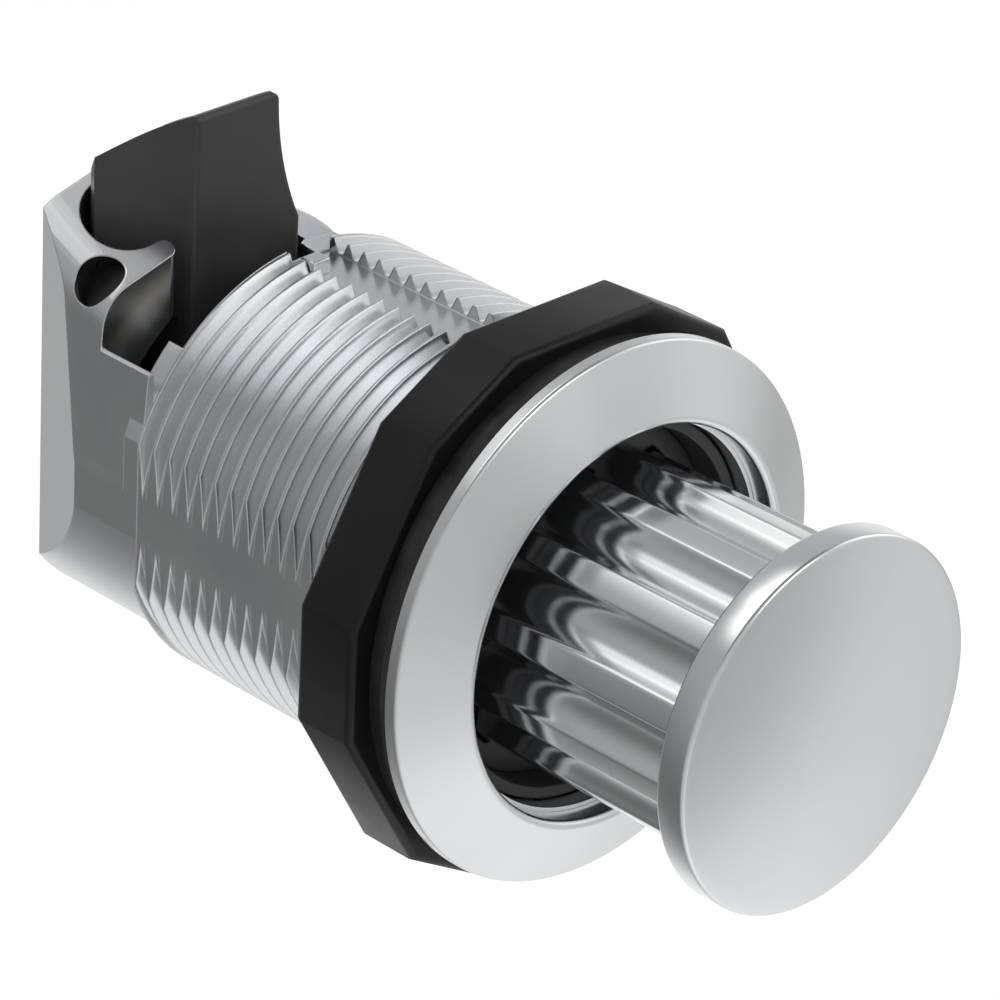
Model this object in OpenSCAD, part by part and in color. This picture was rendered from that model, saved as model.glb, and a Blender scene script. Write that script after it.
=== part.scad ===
// Push-to-close panel latch with a pop-out knob and a slam pawl.
// The latch axis runs along Y: the knob faces -Y, the rear housing lies at +Y, the pawl points up (+Z).
// The origin is the centre of the bezel's back face, where the panel's outer face seats.

/* [Barrel] */
// Diameter over the crests of the barrel thread
thread_d = 32; // [31:0.1:33]
// Distance from one thread crest to the next
thread_pitch = 1.5; // [1.25:0.05:1.75]
// Radial depth of the thread
thread_depth = 0.95; // [0.7:0.05:1]
// Length of barrel behind the bezel's back face
barrel_len = 28.4; // [26:0.1:32]
// Depth of each side flat below the thread's crests
flat_depth = 1.03; // [0.95:0.01:1.15]
// Wall of the barrel from the thread's crests to its bore
barrel_wall = 2.4; // [2.3:0.05:2.6]
// Plain length of barrel behind the bezel, before the thread starts
collar_len = 2.3; // [2.2:0.1:3]
// Width of the keyway along the top
key_w = 4; // [3:0.1:5]
// Depth of the keyway below the crests
key_depth = 1.2; // [1:0.05:1.4]
// Thickness of the web that closes the barrel's rear end
web_t = 1.2; // [1:0.1:1.6]
// Width of the stop lug in the keyway
key_stop_w = 1.6; // [1.2:0.1:2]
// Length of the stop lug along the keyway
key_stop_len = 1.3; // [1:0.1:1.6]
// Distance of the stop lug's top below the crests
key_stop_low = 0.1; // [0.05:0.05:0.4]
// Distance from the middle of the keyway to the stop lug
key_stop_side = 0.3; // [0.1:0.1:0.4]
// Distance from the barrel's rear end to the stop lug
key_stop_back = 1.2; // [0.8:0.1:1.6]

/* [Bezel] */
// Distance that the bezel reaches out past the thread's crests
bezel_rim = 3.1; // [2.6:0.1:4]
// Thickness of the bezel at its outer edge
bezel_edge = 0.8; // [0.6:0.05:1.2]
// Rise of the bezel's face from its edge to its hole
bezel_rise = 2.23; // [1.8:0.01:2.8]
// Radial step from the barrel's bore out to the bezel's hole
bezel_hole_step = 0.3; // [0.1:0.05:0.6]
// Depth of the seat that takes the barrel's nose
nose_len = 1.3; // [1:0.05:1.5]
// Radius of the rounded outer edge of the bezel
bezel_edge_r = 0.3; // [0.2:0.05:0.4]
// Radius of the rounded lip at the bezel's hole
lip_r = 0.45; // [0.3:0.05:0.6]

/* [Knob] */
// Radial gap between the knob's disc and the bezel's hole
knob_gap = 0.83; // [0.5:0.01:1.1]
// Thickness of the knob's rim
knob_rim = 2.32; // [2:0.02:3]
// Height of the domed face above the rim
knob_dome = 0.9; // [0.5:0.05:1.4]
// Radius of the knob's rounded edges
knob_edge_r = 0.3; // [0.2:0.05:0.5]
// Distance from the bezel's back face to the disc's back when the knob is out
knob_reach = 17.92; // [16:0.02:18.5]
// Distance that the knob travels past flush before it is released
over_travel = 0.5; // [0.3:0.1:0.8]
// Radial thickness of the splined ring that runs round the neck
spline_t = 1.5; // [1.3:0.05:1.8]
// Number of flutes round the neck
flute_count = 12; // [8:1:16]
// Radius of each flute
flute_r = 2.4; // [1.8:0.05:2.8]
// Depth of each flute
flute_depth = 1.05; // [0.7:0.05:1.3]
// Wall of the hollow neck below the flutes
neck_wall = 1.7; // [1.2:0.1:2]
// Radial gap round the stop flange at the neck's inner end
flange_gap = 0.2; // [0.1:0.05:0.4]
// Length of the stop flange
stop_flange_len = 1.1; // [0.8:0.1:1.6]
// Thickness of the disc behind the dome, inside the neck
knob_floor = 2.6; // [2:0.1:3.4]

/* [Plunger rod] */
// Diameter of the rod's round shank
shank_d = 5; // [4:0.1:5.6]
// Length of shank inside the knob's socket
shank_len = 4.2; // [3.6:0.1:5]
// Width of the flat cam bar
bar_w = 6; // [5:0.1:6.4]
// Thickness of the flat cam bar
bar_t = 3.6; // [3:0.1:4]
// Wall of the socket that holds the shank
socket_wall = 1.5; // [1.2:0.1:2]
// Depth of the track cut into the cam bar
track_depth = 0.9; // [0.6:0.05:1.2]
// Diameter of the cross pin through socket and shank
rod_pin_d = 1.5; // [1.2:0.1:2]

/* [Drive sleeve] */
// Running clearance between turning parts and their bores
run_gap = 0.1; // [0.05:0.01:0.1]
// Gap between sliding or passing parts
slide_gap = 0.25; // [0.2:0.01:0.35]
// Wall of the drive sleeve
sleeve_wall = 0.8; // [0.6:0.05:0.85]
// Thickness of the drive sleeve's rear wall
sleeve_floor = 1.3; // [1:0.1:1.8]
// Distance from the bezel's back face to the splined ring's front
ring_front = 2.5; // [2.2:0.1:3]
// Length of the splined ring
ring_len = 4; // [3:0.1:5]
// Distance that the barrel's rear web reaches in from the bore to the hub
web_reach = 3.3; // [3.2:0.05:3.7]
// Length of hub behind the web
hub_len = 2; // [1.9:0.05:2.1]

/* [Crank] */
// Distance from the crank pin's axis to the hub's edge
crank_edge = 1.8; // [1.6:0.05:2.2]
// Diameter of the crank pin
crank_pin_d = 1.8; // [1.6:0.05:2]
// Outer diameter of the roller on the crank pin
roller_d = 3; // [2.6:0.05:3.2]
// Angle that the knob turns to draw the pawl in
turn_angle = 64; // [56:1:66]
// Distance from the hub's rear face to the pawl's front face
fork_room = 2.6; // [2.4:0.1:2.8]
// Length of the roller along its pin
roller_len = 2.1; // [1.8:0.1:2.2]

/* [Retaining ring] */
// Thickness of the retaining ring
clip_t = 0.8; // [0.6:0.05:1]
// Radial width of the retaining ring
clip_w = 1.5; // [1.2:0.05:1.7]
// Depth of the groove that holds the retaining ring
clip_groove = 0.55; // [0.4:0.05:0.7]
// Opening angle of the retaining ring
clip_open = 40; // [25:1:70]
// Thickness of the thrust washer under the retaining ring
thrust_t = 0.5; // [0.4:0.05:0.55]

/* [Follower] */
// Diameter of the follower's wire
follower_d = 1; // [0.8:0.05:1.2]
// Distance from the follower's pivot to its tip
follower_len = 15.5; // [14:0.1:16.5]
// Angle that the follower swings while the knob is pushed in
follower_swing = 4; // [3:0.5:5]
// Diameter of the follower's pivot pin
follower_pin_d = 1; // [0.8:0.05:1.2]

/* [Springs] */
// Wire diameter of the knob spring
knob_wire = 1.1; // [0.9:0.05:1.2]
// Radial gap round the knob spring
knob_spring_gap = 1; // [0.6:0.1:1.4]
// Turns in the knob spring
knob_turns = 11; // [8:1:13]
// Wire diameter of each pawl spring
pawl_wire = 0.6; // [0.5:0.05:0.7]
// Outer diameter of each pawl spring
pawl_spring_d = 3.6; // [3.3:0.1:3.8]
// Turns in each pawl spring
pawl_turns = 9; // [6:1:10]

/* [Gasket and washer] */
// Distance that the gasket reaches out past the thread's crests
gasket_rim = 2.5; // [2:0.05:2.8]
// Thickness of the gasket
gasket_t = 1.1; // [0.8:0.1:1.4]
// Distance that the keyed washer reaches out past the thread's crests
washer_rim = 2.3; // [2:0.05:2.8]
// Thickness of the keyed washer
washer_t = 1.1; // [0.8:0.1:1.4]
// Gap between the gasket and the washer when nothing is clamped
panel_gap = 0.1; // [0.05:0.05:0.3]

/* [Nut] */
// Wall of the nut from the thread's crests to its six wide flats
nut_wall = 3.25; // [2.8:0.05:4]
// Distance that the six narrow corner flats lie further out
nut_corner_step = 0.6; // [0.4:0.05:1]
// Thickness of the nut
nut_t = 5.1; // [4:0.1:7]
// Rounding of the nut's outer edges
nut_edge = 0.5; // [0.3:0.05:0.8]

/* [Housing] */
// Step from the thread's crests in to the rear housing
housing_step = 0.95; // [0.85:0.01:1]
// Distance from the barrel's rear end to the housing's rear face
housing_len = 13.3; // [12.9:0.1:14.1]
// Wall thickness of the rear housing
housing_wall = 1.65; // [1.5:0.05:1.8]
// Distance from the barrel's rear end to the pocket's back wall
pocket_len = 4.8; // [4.7:0.1:5]
// Depth of the pocket's sill below the housing's round top
sill_depth = 4.65; // [4.2:0.05:4.75]
// Distance from the pocket's back wall to the right shoulder's front
right_back = 4; // [3.5:0.1:4.4]
// Height of the shoulder's crown over the housing's round top, at the pocket's back wall
crown_height = 2.3; // [2:0.05:2.6]
// Rise of the crown from the pocket's back wall to the rear face
crown_rise = 3; // [2.7:0.05:3.3]
// Radius of the crown, seen from the front
crown_r = 12; // [11:0.1:13]
// Slope of the shoulder's top beside the crown
top_slope = 0.28; // [0.24:0.01:0.32]
// Inward lean of the shoulder's outer side
side_lean = 0.09; // [0.07:0.01:0.11]
// Height above the latch axis where the side starts to lean
lean_z = 1.1; // [0.5:0.1:2]
// Corner radius of the shoulder at the front
corner_front_r = 3; // [2.4:0.1:3.4]
// Corner radius of the shoulder at the rear
corner_rear_r = 4.4; // [3.8:0.1:4.8]
// Width of the wall on the right of the pawl slot
guide_wall = 1.6; // [1.2:0.1:2]
// Length of the rear side chamfers along the latch axis
side_chamfer_len = 7; // [6:0.1:7.4]
// Depth of the rear side chamfers
side_chamfer = 3; // [2.6:0.1:3.2]
// Thickness of the side wall along the pocket's sill
sill_land = 0.45; // [0.4:0.05:0.6]
// Height above the latch axis where the thin side wall starts
pocket_floor_z = 2; // [1.5:0.1:3]
// Length of the collar that carries the barrel on behind its left side
side_lug_t = 1.4; // [1:0.1:1.6]
// Angle round the latch axis, from the right, where that collar ends
side_lug_angle = 134; // [131:1:137]
// Diameter of the cross hole in the shoulder
cross_hole_d = 2.8; // [2.4:0.1:3]
// Depth of the cross hole's axis below the crown
cross_hole_depth = 3.05; // [2.85:0.05:3.4]
// Distance from the pocket's back wall to the cross hole's axis
cross_hole_back = 2; // [1.8:0.1:2.4]
// Depth of the cross hole's blind end from the side flat
cross_hole_len = 3.37; // [2.8:0.01:3.5]

/* [Pawl] */
// Height of the pawl's tip above the shoulder's crown
pawl_rise = 7.75; // [7.2:0.05:8.2]
// Left edge of the pawl's front face, seen from the front
pawl_left = 6.3; // [6:0.1:6.4]
// Right edge of the pawl's front face
pawl_right = 3.4; // [3.2:0.1:3.6]
// Thickness of the pawl from its front face to its back
pawl_t = 7.4; // [7:0.1:7.5]
// Distance from the tip of the pawl's wing to the left side flat
wing_edge = 5.07; // [5:0.01:5.5]
// Step from the pawl's front face back to its wing
wing_step = 1.2; // [0.9:0.1:1.5]
// Radius of the hollow in the wing's left face
wing_hollow_r = 8; // [7:0.1:10]
// Size of the wing's rear corner
wing_corner = 1.5; // [1.2:0.1:1.8]
// Depth of the wing's lower end below the pocket's sill
wing_drop = 0.4; // [0:0.1:0.8]
// Slope of the slam face where it leaves the pawl's tip
slam_angle = 25; // [22:1:28]
// Radius of the slam face, which curves outward
slam_r = 20; // [18:0.5:24]
// Radius of the rounded corner at the right of the tip
tip_corner_r = 0.6; // [0.4:0.05:0.9]
// Amount that the pawl's right edge draws in towards its tip
tip_taper = 2.2; // [1.6:0.1:2.6]
// Height over which the pawl's right edge draws in
taper_len = 9.8; // [9:0.1:10.6]
// Rounding of the pawl's outer edges
pawl_edge = 0.4; // [0.2:0.05:0.5]
// Thickness of each finger of the pawl's fork
finger_t = 1.5; // [1.2:0.1:1.6]
// Free gap round the pawl in its slot
slot_gap = 0.5; // [0.4:0.05:0.55]
// Radius of the slot's round left end
slot_end_r = 3.1; // [3:0.05:3.2]
// Gap between the wing's tip and the slot's round end
slot_side_gap = 1.2; // [1.1:0.05:1.3]
// Depth of the spring bores in the pawl
spring_bore = 8; // [7:0.1:9]
// Height of the spring seat above the cavity's floor
seat_height = 1.8; // [1.6:0.1:2]

/* [Rear cover] */
// Thickness of the rear cover
cover_t = 0.8; // [0.7:0.05:0.9]
// Width of the ledge that the rear cover lies on
cover_ledge = 0.5; // [0.4:0.05:0.6]
// Distance from the rear cover's side flats to the housing's rear edges
cover_side = 0.67; // [0.5:0.01:0.8]
// Thickness of the seal under the rear cover
cover_seal_t = 0.2; // [0.15:0.05:0.25]
// Width of the seal's rim
cover_seal_w = 0.9; // [0.7:0.1:1]
// Thread diameter of the cover screws
screw_d = 2; // [1.8:0.1:2.2]
// Length of the cover screws under their heads
screw_len = 5; // [4:0.2:5.4]
// Diameter of the cover screws' heads
screw_head_d = 3.8; // [3.4:0.1:4]
// Height of the cover screws' heads
screw_head_h = 1.2; // [1:0.1:1.4]
// Diameter of the bosses that the cover screws enter
boss_d = 4.2; // [4:0.1:4.4]
// Distance from the cover screws' axes to the cavity's round wall
screw_inset = 0.7; // [0.6:0.05:0.8]

/* [Hidden] */
$fn = 96;

// Amount by which a cut passes a face, so that no skin is left
cut = 0.5;
// Radial gap between pieces that are seated or pressed in each other
seat_gap = 0.03;
// Thin slab that a hull starts or ends with
slab = 0.01;
// Amount by which a head, ring or finger stands past what it holds
small_step = 0.3;

// Barrel, from the bezel to the rear end
crest_r = thread_d / 2;
root_r = crest_r - thread_depth;
bore_r = crest_r - barrel_wall;
flat_x = crest_r - flat_depth;
nose_r = flat_x - seat_gap;
thread_turns = floor((barrel_len - collar_len) / thread_pitch);
thread_start = barrel_len - thread_turns * thread_pitch;
crest_flat = thread_pitch / 16;
root_flat = thread_pitch / 12;
key_floor = crest_r - key_depth;
hub_r = bore_r - web_reach - run_gap;
web_front = barrel_len - web_t;

// Radii and heights of the rear housing that other pieces follow
housing_r = crest_r - housing_step;
cavity_r = housing_r - housing_wall;
sill_z = housing_r - sill_depth;
crown_z = housing_r + crown_height;
pawl_top = crown_z + pawl_rise;
taper_z = pawl_top - taper_len;
wing_bottom = sill_z - wing_drop;

// Bezel
bezel_r = crest_r + bezel_rim;
bezel_hole_r = bore_r + bezel_hole_step;
bezel_front = -bezel_edge - bezel_rise;

// Knob, drawn in its popped-out place, and the sleeve's bore that it slides in
sleeve_r = bore_r - run_gap;
sleeve_bore_r = sleeve_r - sleeve_wall;
knob_back = -knob_reach;
knob_front = knob_back - knob_rim;
knob_r = bezel_hole_r - knob_gap;
push_travel = bezel_front - knob_front + over_travel;
neck_r = sleeve_bore_r - slide_gap - spline_t;
flute_axis_r = neck_r - flute_depth + flute_r;
neck_bore_r = neck_r - flute_depth - neck_wall;
stop_flange_r = sleeve_bore_r - flange_gap;
ring_rear = ring_front + ring_len;
neck_rear = ring_rear + run_gap + stop_flange_len;
knob_inside = knob_front + knob_floor;

// Plunger rod and its cam track
pivot_room = 0.4;
bar_end = 1.6;
socket_r = shank_d / 2 + socket_wall;
shank_rear = knob_inside + shank_len;
rod_pin_y = knob_inside + shank_len / 2;
pivot_y = web_front - run_gap - sleeve_floor - follower_pin_d - pivot_room;
tip_y = pivot_y - follower_len;
swing_x = follower_len * sin(follower_swing);
track_w = follower_d + 2 * slide_gap;
track_rear = tip_y + track_w;
track_front = tip_y - push_travel;
bar_rear = track_rear + bar_end;
bar_hole_r = norm([bar_w / 2, bar_t / 2]) + slide_gap;

// Drive sleeve and hub
sleeve_front = knob_back + push_travel + slide_gap;
sleeve_rear = web_front - run_gap;
floor_front = sleeve_rear - sleeve_floor;
hub_rear = barrel_len + hub_len;
thrust_front = barrel_len + run_gap / 2;
clip_front = thrust_front + thrust_t + run_gap / 2;
clip_inner_r = hub_r - clip_groove + seat_gap;

// Knob spring, and the boss for the follower's pin, clear of the spring's inner side
knob_spring_d = 2 * (neck_bore_r - knob_spring_gap);
rings_per_turn = 8;
wire_sides = 6;
pin_boss_w = follower_pin_d + 2;
pin_boss_z0 = bar_t / 2 + 2 * slide_gap + follower_d;
spring_clear_r = (knob_spring_d / 2 - knob_wire) * cos(180 / rings_per_turn) - slide_gap;
pin_boss_z1 = sqrt(spring_clear_r * spring_clear_r - pin_boss_w * pin_boss_w / 4);

// Crank pin, and the pawl in its drawn-out place with the fork in front of it
crank_r = hub_r - crank_edge;
wing_reach = flat_x - wing_edge;
pawl_front = hub_rear + fork_room;
pawl_rear = pawl_front + pawl_t;
pawl_travel = 2 * crank_r * sin(turn_angle / 2);
fork_front = hub_rear + slide_gap;
fork_rear = pawl_front + finger_t / 4;
roller_r = roller_d / 2;
roller_front = hub_rear + slide_gap / 2;
crank_x = crank_r * cos(turn_angle / 2);
crank_z = crank_r * sin(turn_angle / 2);
fork_gap = roller_r + slide_gap / 2;
fork_reach = crank_r + roller_r + small_step;
seat_z = seat_height - cavity_r;
pawl_bottom = seat_z + pawl_travel + 2 * small_step;
wing_front = pawl_front + wing_step;
spring_y = (pawl_front + pawl_rear) / 2;
spring_off = (pawl_left + pawl_right) / 4;
spring_mid = (pawl_right - pawl_left) / 2;
spring_top = pawl_bottom + spring_bore;

// Rear housing
sill_x = -flat_x + side_lean * (sill_z - lean_z);
cross_hole_z = crown_z - cross_hole_depth;
cover_r = cavity_r + cover_ledge;
cover_flats = 2 * (flat_x - side_chamfer - cover_side);
screw_pcd_r = cavity_r - screw_inset;
pocket_rear = barrel_len + pocket_len;
housing_rear = barrel_len + housing_len;
slot_rear = pawl_rear + slot_gap;
slot_right = pawl_right + slot_gap;
recess_front = housing_rear - cover_t - cover_seal_t;
chamfer_front = housing_rear - side_chamfer_len;
boss_angles = [44, -46, -134];

// Nut and washer in their places nearest the bezel
washer_front = gasket_t + panel_gap;
nut_front = washer_front + washer_t;
nut_bore_r = crest_r + run_gap / 2;
nut_flat_r = crest_r + nut_wall;

// Turn a lathe shape's +Z to the latch axis, +Y
module along_y() {
    rotate([-90, 0, 0]) children();
}

// Ring or tube along the latch axis, from y0 to y1
module tube(r_out, r_in, y0, y1) {
    along_y() rotate_extrude() translate([r_in, y0]) square([r_out - r_in, y1 - y0]);
}

// Rod along the latch axis, from y0 to y1
module rod(r, y0, y1) {
    translate([0, y0, 0]) along_y() cylinder(r = r, h = y1 - y0);
}

// Outline drawn in X and Z, carried along Y from y0 to y1
module section(y0, y1) {
    translate([0, y1, 0]) rotate([90, 0, 0]) linear_extrude(y1 - y0) children();
}

// Outline drawn in X and Y, carried up from z0 to z1
module plan(z0, z1) {
    translate([0, 0, z0]) linear_extrude(z1 - z0) children();
}

// Slab between two X values that takes the barrel's flats
module between_flats(half, y0, y1) {
    translate([-half, y0, -2 * crest_r]) cube([2 * half, y1 - y0, 4 * crest_r]);
}

// Points of an arc round c with radius r, from angle a to angle b
function arc(c, r, a, b, n = 12) = [for (i = [0:n]) let (t = a + (b - a) * i / n) c + r * [cos(t), sin(t)]];

// The points of a list after its first one
function rest(list) = [for (i = [1:len(list) - 1]) list[i]];

// Half outline of the barrel: bore, nose, collar, thread, rear end and web
function groove(y) = [
    [crest_r, y + crest_flat],
    [root_r, y + thread_pitch / 2 - root_flat],
    [root_r, y + thread_pitch / 2 + root_flat],
    [crest_r, y + thread_pitch - crest_flat]
];

module barrel_outline() {
    grooves = [for (k = [0:thread_turns - 1]) each groove(thread_start + k * thread_pitch)];
    polygon(concat(
        [[bore_r, -nose_len], [nose_r, -nose_len], [nose_r, 0], [crest_r, 0]],
        grooves,
        [[crest_r, barrel_len], [hub_r + run_gap, barrel_len], [hub_r + run_gap, web_front], [bore_r, web_front]]
    ));
}

module barrel() {
    difference() {
        intersection() {
            along_y() rotate_extrude($fn = 180) barrel_outline();
            between_flats(flat_x, -2 * nose_len, barrel_len + cut);
        }
        translate([-key_w / 2, -cut, key_floor]) cube([key_w, barrel_len + 2 * cut, key_depth + cut]);
    }
    translate([-key_stop_w - key_stop_side, barrel_len - key_stop_back - key_stop_len, key_floor - slab])
        cube([key_stop_w, key_stop_len, key_depth - key_stop_low + slab]);
}

// Height of the shoulder's straight top line where it would cross the latch plane
function top_line(crown) = crown + crown_r * (sqrt(1 + top_slope * top_slope) - 1);

// Centre of the shoulder's corner round, r inside both the leaning side and the sloping top
function corner_centre(crown, r) =
    let (a = r * sqrt(1 + side_lean * side_lean),
         b = r * sqrt(1 + top_slope * top_slope),
         x0 = -flat_x - side_lean * lean_z + a,
         z = (top_line(crown) - b + top_slope * x0) / (1 - top_slope * side_lean))
    [x0 + side_lean * z, z];

// Shoulder seen from the front: leaning side, round corner, sloping top, crown and right side
module shoulder_outline(crown, corner) {
    top_angle = atan(top_slope);
    right = slot_right + guide_wall;
    polygon(concat(
        [[-flat_x, lean_z]],
        arc(corner_centre(crown, corner), corner, 180 - atan(side_lean), 90 + top_angle),
        arc([0, crown - crown_r], crown_r, 90 + top_angle, acos(right / crown_r)),
        [[right, 0], [-flat_x, 0]]
    ));
}

module shoulder() {
    hull() {
        section(pocket_rear, pocket_rear + slab) shoulder_outline(crown_z, corner_front_r);
        section(housing_rear - slab, housing_rear) shoulder_outline(crown_z + crown_rise, corner_rear_r);
    }
}

// Thin side wall beside the pocket, up to the sill
module sill_wall() {
    section(barrel_len, pocket_rear + cut) polygon([
        [-flat_x, -lean_z],
        [-flat_x, lean_z],
        [sill_x, sill_z],
        [sill_x + sill_land, sill_z],
        [sill_x + sill_land, -lean_z]
    ]);
}

// Part of a collar that carries the barrel's outline on behind its rear end, on the left
module side_lug() {
    reach = 2 * crest_r;
    difference() {
        intersection() {
            rod(crest_r, barrel_len - slab, barrel_len + side_lug_t);
            between_flats(flat_x, barrel_len - cut, barrel_len + 2 * side_lug_t);
            section(barrel_len - cut, barrel_len + 2 * side_lug_t) polygon([
                [0, 0],
                reach * [cos(side_lug_angle), sin(side_lug_angle)],
                [-reach, reach],
                [-reach, 0]
            ]);
        }
        rod(cavity_r, barrel_len - cut, barrel_len + 2 * side_lug_t);
    }
}

// Housing seen from above, with its two rear chamfers, drawn in by inset
module housing_plan(inset) {
    x = flat_x - inset;
    xr = flat_x - side_chamfer - inset;
    past = cut * side_chamfer / side_chamfer_len;
    polygon([[-x, barrel_len - cut], [x, barrel_len - cut], [x, chamfer_front], [xr - past, housing_rear + cut],
             [-xr + past, housing_rear + cut], [-x, chamfer_front]]);
}

// Slot for the pawl, seen from above: open at the front past a round wall tip, with a round left end
module slot_plan() {
    end = [-wing_reach - slot_side_gap + slot_end_r, slot_rear - slot_end_r];
    tip_r = (end[1] - slot_end_r - pocket_rear) / 2;
    polygon(concat(
        [[slot_right, pocket_rear - cut], [end[0], pocket_rear - cut]],
        arc([end[0], pocket_rear + tip_r], tip_r, -90, 90),
        rest(arc(end, slot_end_r, 270, 90, 18)),
        [[slot_right, slot_rear]]
    ));
}

// Bosses in the cavity that take the cover screws
module at_screws() {
    for (a = boss_angles) translate([screw_pcd_r * cos(a), 0, screw_pcd_r * sin(a)]) children();
}

// Room for the crank, the fork and the pawl's lower end
module cavity() {
    difference() {
        intersection() {
            rod(cavity_r, barrel_len - cut, housing_rear + cut);
            plan(-crest_r, crest_r) housing_plan(housing_wall);
        }
        at_screws() rod(boss_d / 2, pocket_rear + 2 * small_step, recess_front);
        translate([-crest_r, pocket_rear + slide_gap, -crest_r]) cube([2 * crest_r, housing_rear, crest_r + seat_z]);
    }
}

// Outline of the rear cover, grown by grow
module cover_outline(grow) {
    intersection() {
        circle(r = cover_r + grow);
        square([cover_flats + 2 * grow, 4 * cover_r], center = true);
    }
}

module latch_body() {
    color("silver") {
        barrel();
        difference() {
            intersection() {
                union() {
                    rod(housing_r, barrel_len - slab, housing_rear);
                    shoulder();
                }
                plan(-2 * crest_r, 2 * crest_r) housing_plan(0);
            }
            cavity();
            translate([-crest_r, barrel_len, sill_z]) cube([2 * crest_r, pocket_len, crest_r]);
            translate([slot_right, barrel_len, sill_z]) cube([crest_r, pocket_len + right_back, crest_r]);
            translate([sill_x + sill_land, barrel_len + side_lug_t, pocket_floor_z])
                cube([crest_r, pocket_len - side_lug_t, crest_r]);
            plan(0, 2 * crest_r) slot_plan();
            section(recess_front, housing_rear + cut) cover_outline(slide_gap);
            at_screws() rod(screw_d / 2 + seat_gap, housing_rear - screw_len - 1, housing_rear + cut);
            translate([-crest_r, pocket_rear + cross_hole_back, cross_hole_z])
                rotate([0, 90, 0]) cylinder(d = cross_hole_d, h = crest_r - flat_x + cross_hole_len);
        }
        sill_wall();
        side_lug();
    }
}

// Bright ring on the barrel's nose, with a conical face and a rounded lip
module bezel() {
    color("gainsboro") along_y() rotate_extrude() polygon(concat(
        [[nose_r + seat_gap, -nose_len - seat_gap], [nose_r + seat_gap, 0], [bezel_r, 0]],
        arc([bezel_r - bezel_edge_r, bezel_edge_r / 3 - bezel_edge], bezel_edge_r, 0, -60, 4),
        arc([bezel_hole_r + lip_r, bezel_front + lip_r], lip_r, -68, -180, 8),
        [[bezel_hole_r, -nose_len - seat_gap]]
    ));
}

module gasket() {
    color("dimgray") tube(crest_r + gasket_rim, crest_r + run_gap, 0, gasket_t);
}

// Washer with two flats and a tab that runs in the keyway
module clamp_washer() {
    color("darkslategray") difference() {
        rod(crest_r + washer_rim, washer_front, nut_front);
        difference() {
            intersection() {
                rod(crest_r + run_gap, washer_front - cut, nut_front + cut);
                between_flats(flat_x + run_gap, washer_front - 2 * cut, nut_front + 2 * cut);
            }
            translate([-key_w / 2 + run_gap, washer_front - 2 * cut, key_floor + run_gap])
                cube([key_w - 2 * run_gap, washer_t + 4 * cut, key_depth + cut]);
        }
    }
}

// Six wide flats and six narrow ones between them, drawn in by inset
module nut_outline(inset) {
    intersection() {
        circle(r = (nut_flat_r - inset) / cos(30), $fn = 6);
        rotate(30) circle(r = (nut_flat_r + nut_corner_step - inset) / cos(30), $fn = 6);
    }
}

module mounting_nut() {
    steps = 4;
    color([0.13, 0.13, 0.13]) difference() {
        hull() for (i = [0:steps]) let (a = 90 * i / steps, inset = nut_edge * (1 - sin(a)), in = nut_edge * (1 - cos(a)))
            section(nut_front + in, nut_front + nut_t - in) nut_outline(inset);
        rod(nut_bore_r, nut_front - cut, nut_front + nut_t + cut);
    }
}

// Flutes round the neck: cutters for the neck, and the splined ring's ribs with a smaller r
module flutes(r, y0, y1) {
    for (i = [0:flute_count - 1]) rotate([0, -i * 360 / flute_count, 0])
        translate([flute_axis_r, 0, 0]) rod(r, y0, y1);
}

// Domed disc, fluted hollow neck, stop flange and the socket for the plunger rod
module knob() {
    dome_r = (pow(knob_r - knob_edge_r, 2) + knob_dome * knob_dome) / (2 * knob_dome);
    dome_a = asin((knob_r - knob_edge_r) / dome_r);
    color("lightgray") difference() {
        union() {
            along_y() rotate_extrude() polygon(concat(
                [[0, knob_back], [knob_r - knob_edge_r, knob_back]],
                arc([knob_r - knob_edge_r, knob_back - knob_edge_r], knob_edge_r, 90, 0, 4),
                arc([knob_r - knob_edge_r, knob_front + knob_edge_r], knob_edge_r, 0, -70, 4),
                arc([0, knob_front - knob_dome + dome_r], dome_r, -90 + dome_a, -90, 10)
            ));
            difference() {
                rod(neck_r, knob_back - cut, neck_rear);
                flutes(flute_r, knob_back, neck_rear + cut);
            }
            rod(stop_flange_r, neck_rear - stop_flange_len, neck_rear);
        }
        difference() {
            rod(neck_bore_r, knob_inside, neck_rear + cut);
            rod(socket_r, knob_inside - cut, shank_rear);
        }
        rod(shank_d / 2 + seat_gap, knob_inside, shank_rear + cut);
        translate([-socket_r - cut, rod_pin_y, 0]) rotate([0, 90, 0])
            cylinder(r = rod_pin_d / 2 + seat_gap, h = 2 * (socket_r + cut));
    }
}

// One leg of the cam track: a slot from the tip's resting place to where a full push leaves it
module track_leg(side) {
    lean = side * atan(swing_x / push_travel);
    translate([0, tip_y]) rotate(lean) translate([-track_w / 2, -push_travel - track_w / 2])
        square([track_w, push_travel + 1.5 * track_w]);
}

module plunger_rod() {
    color("slategray") difference() {
        union() {
            rod(shank_d / 2, knob_inside + seat_gap, shank_rear);
            translate([-bar_w / 2, shank_rear, -bar_t / 2]) cube([bar_w, bar_rear - shank_rear, bar_t]);
        }
        translate([-socket_r - cut, rod_pin_y, 0]) rotate([0, 90, 0])
            cylinder(r = rod_pin_d / 2 + seat_gap, h = 2 * (socket_r + cut));
        plan(bar_t / 2 - track_depth, bar_t / 2 + cut) {
            track_leg(1);
            track_leg(-1);
            translate([-swing_x - track_w / 2, track_front - track_w / 2]) square([2 * swing_x + track_w, track_w]);
        }
    }
}

module rod_pin() {
    color("gray") translate([-socket_r, rod_pin_y, 0]) rotate([0, 90, 0]) cylinder(d = rod_pin_d, h = 2 * socket_r);
}

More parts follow.
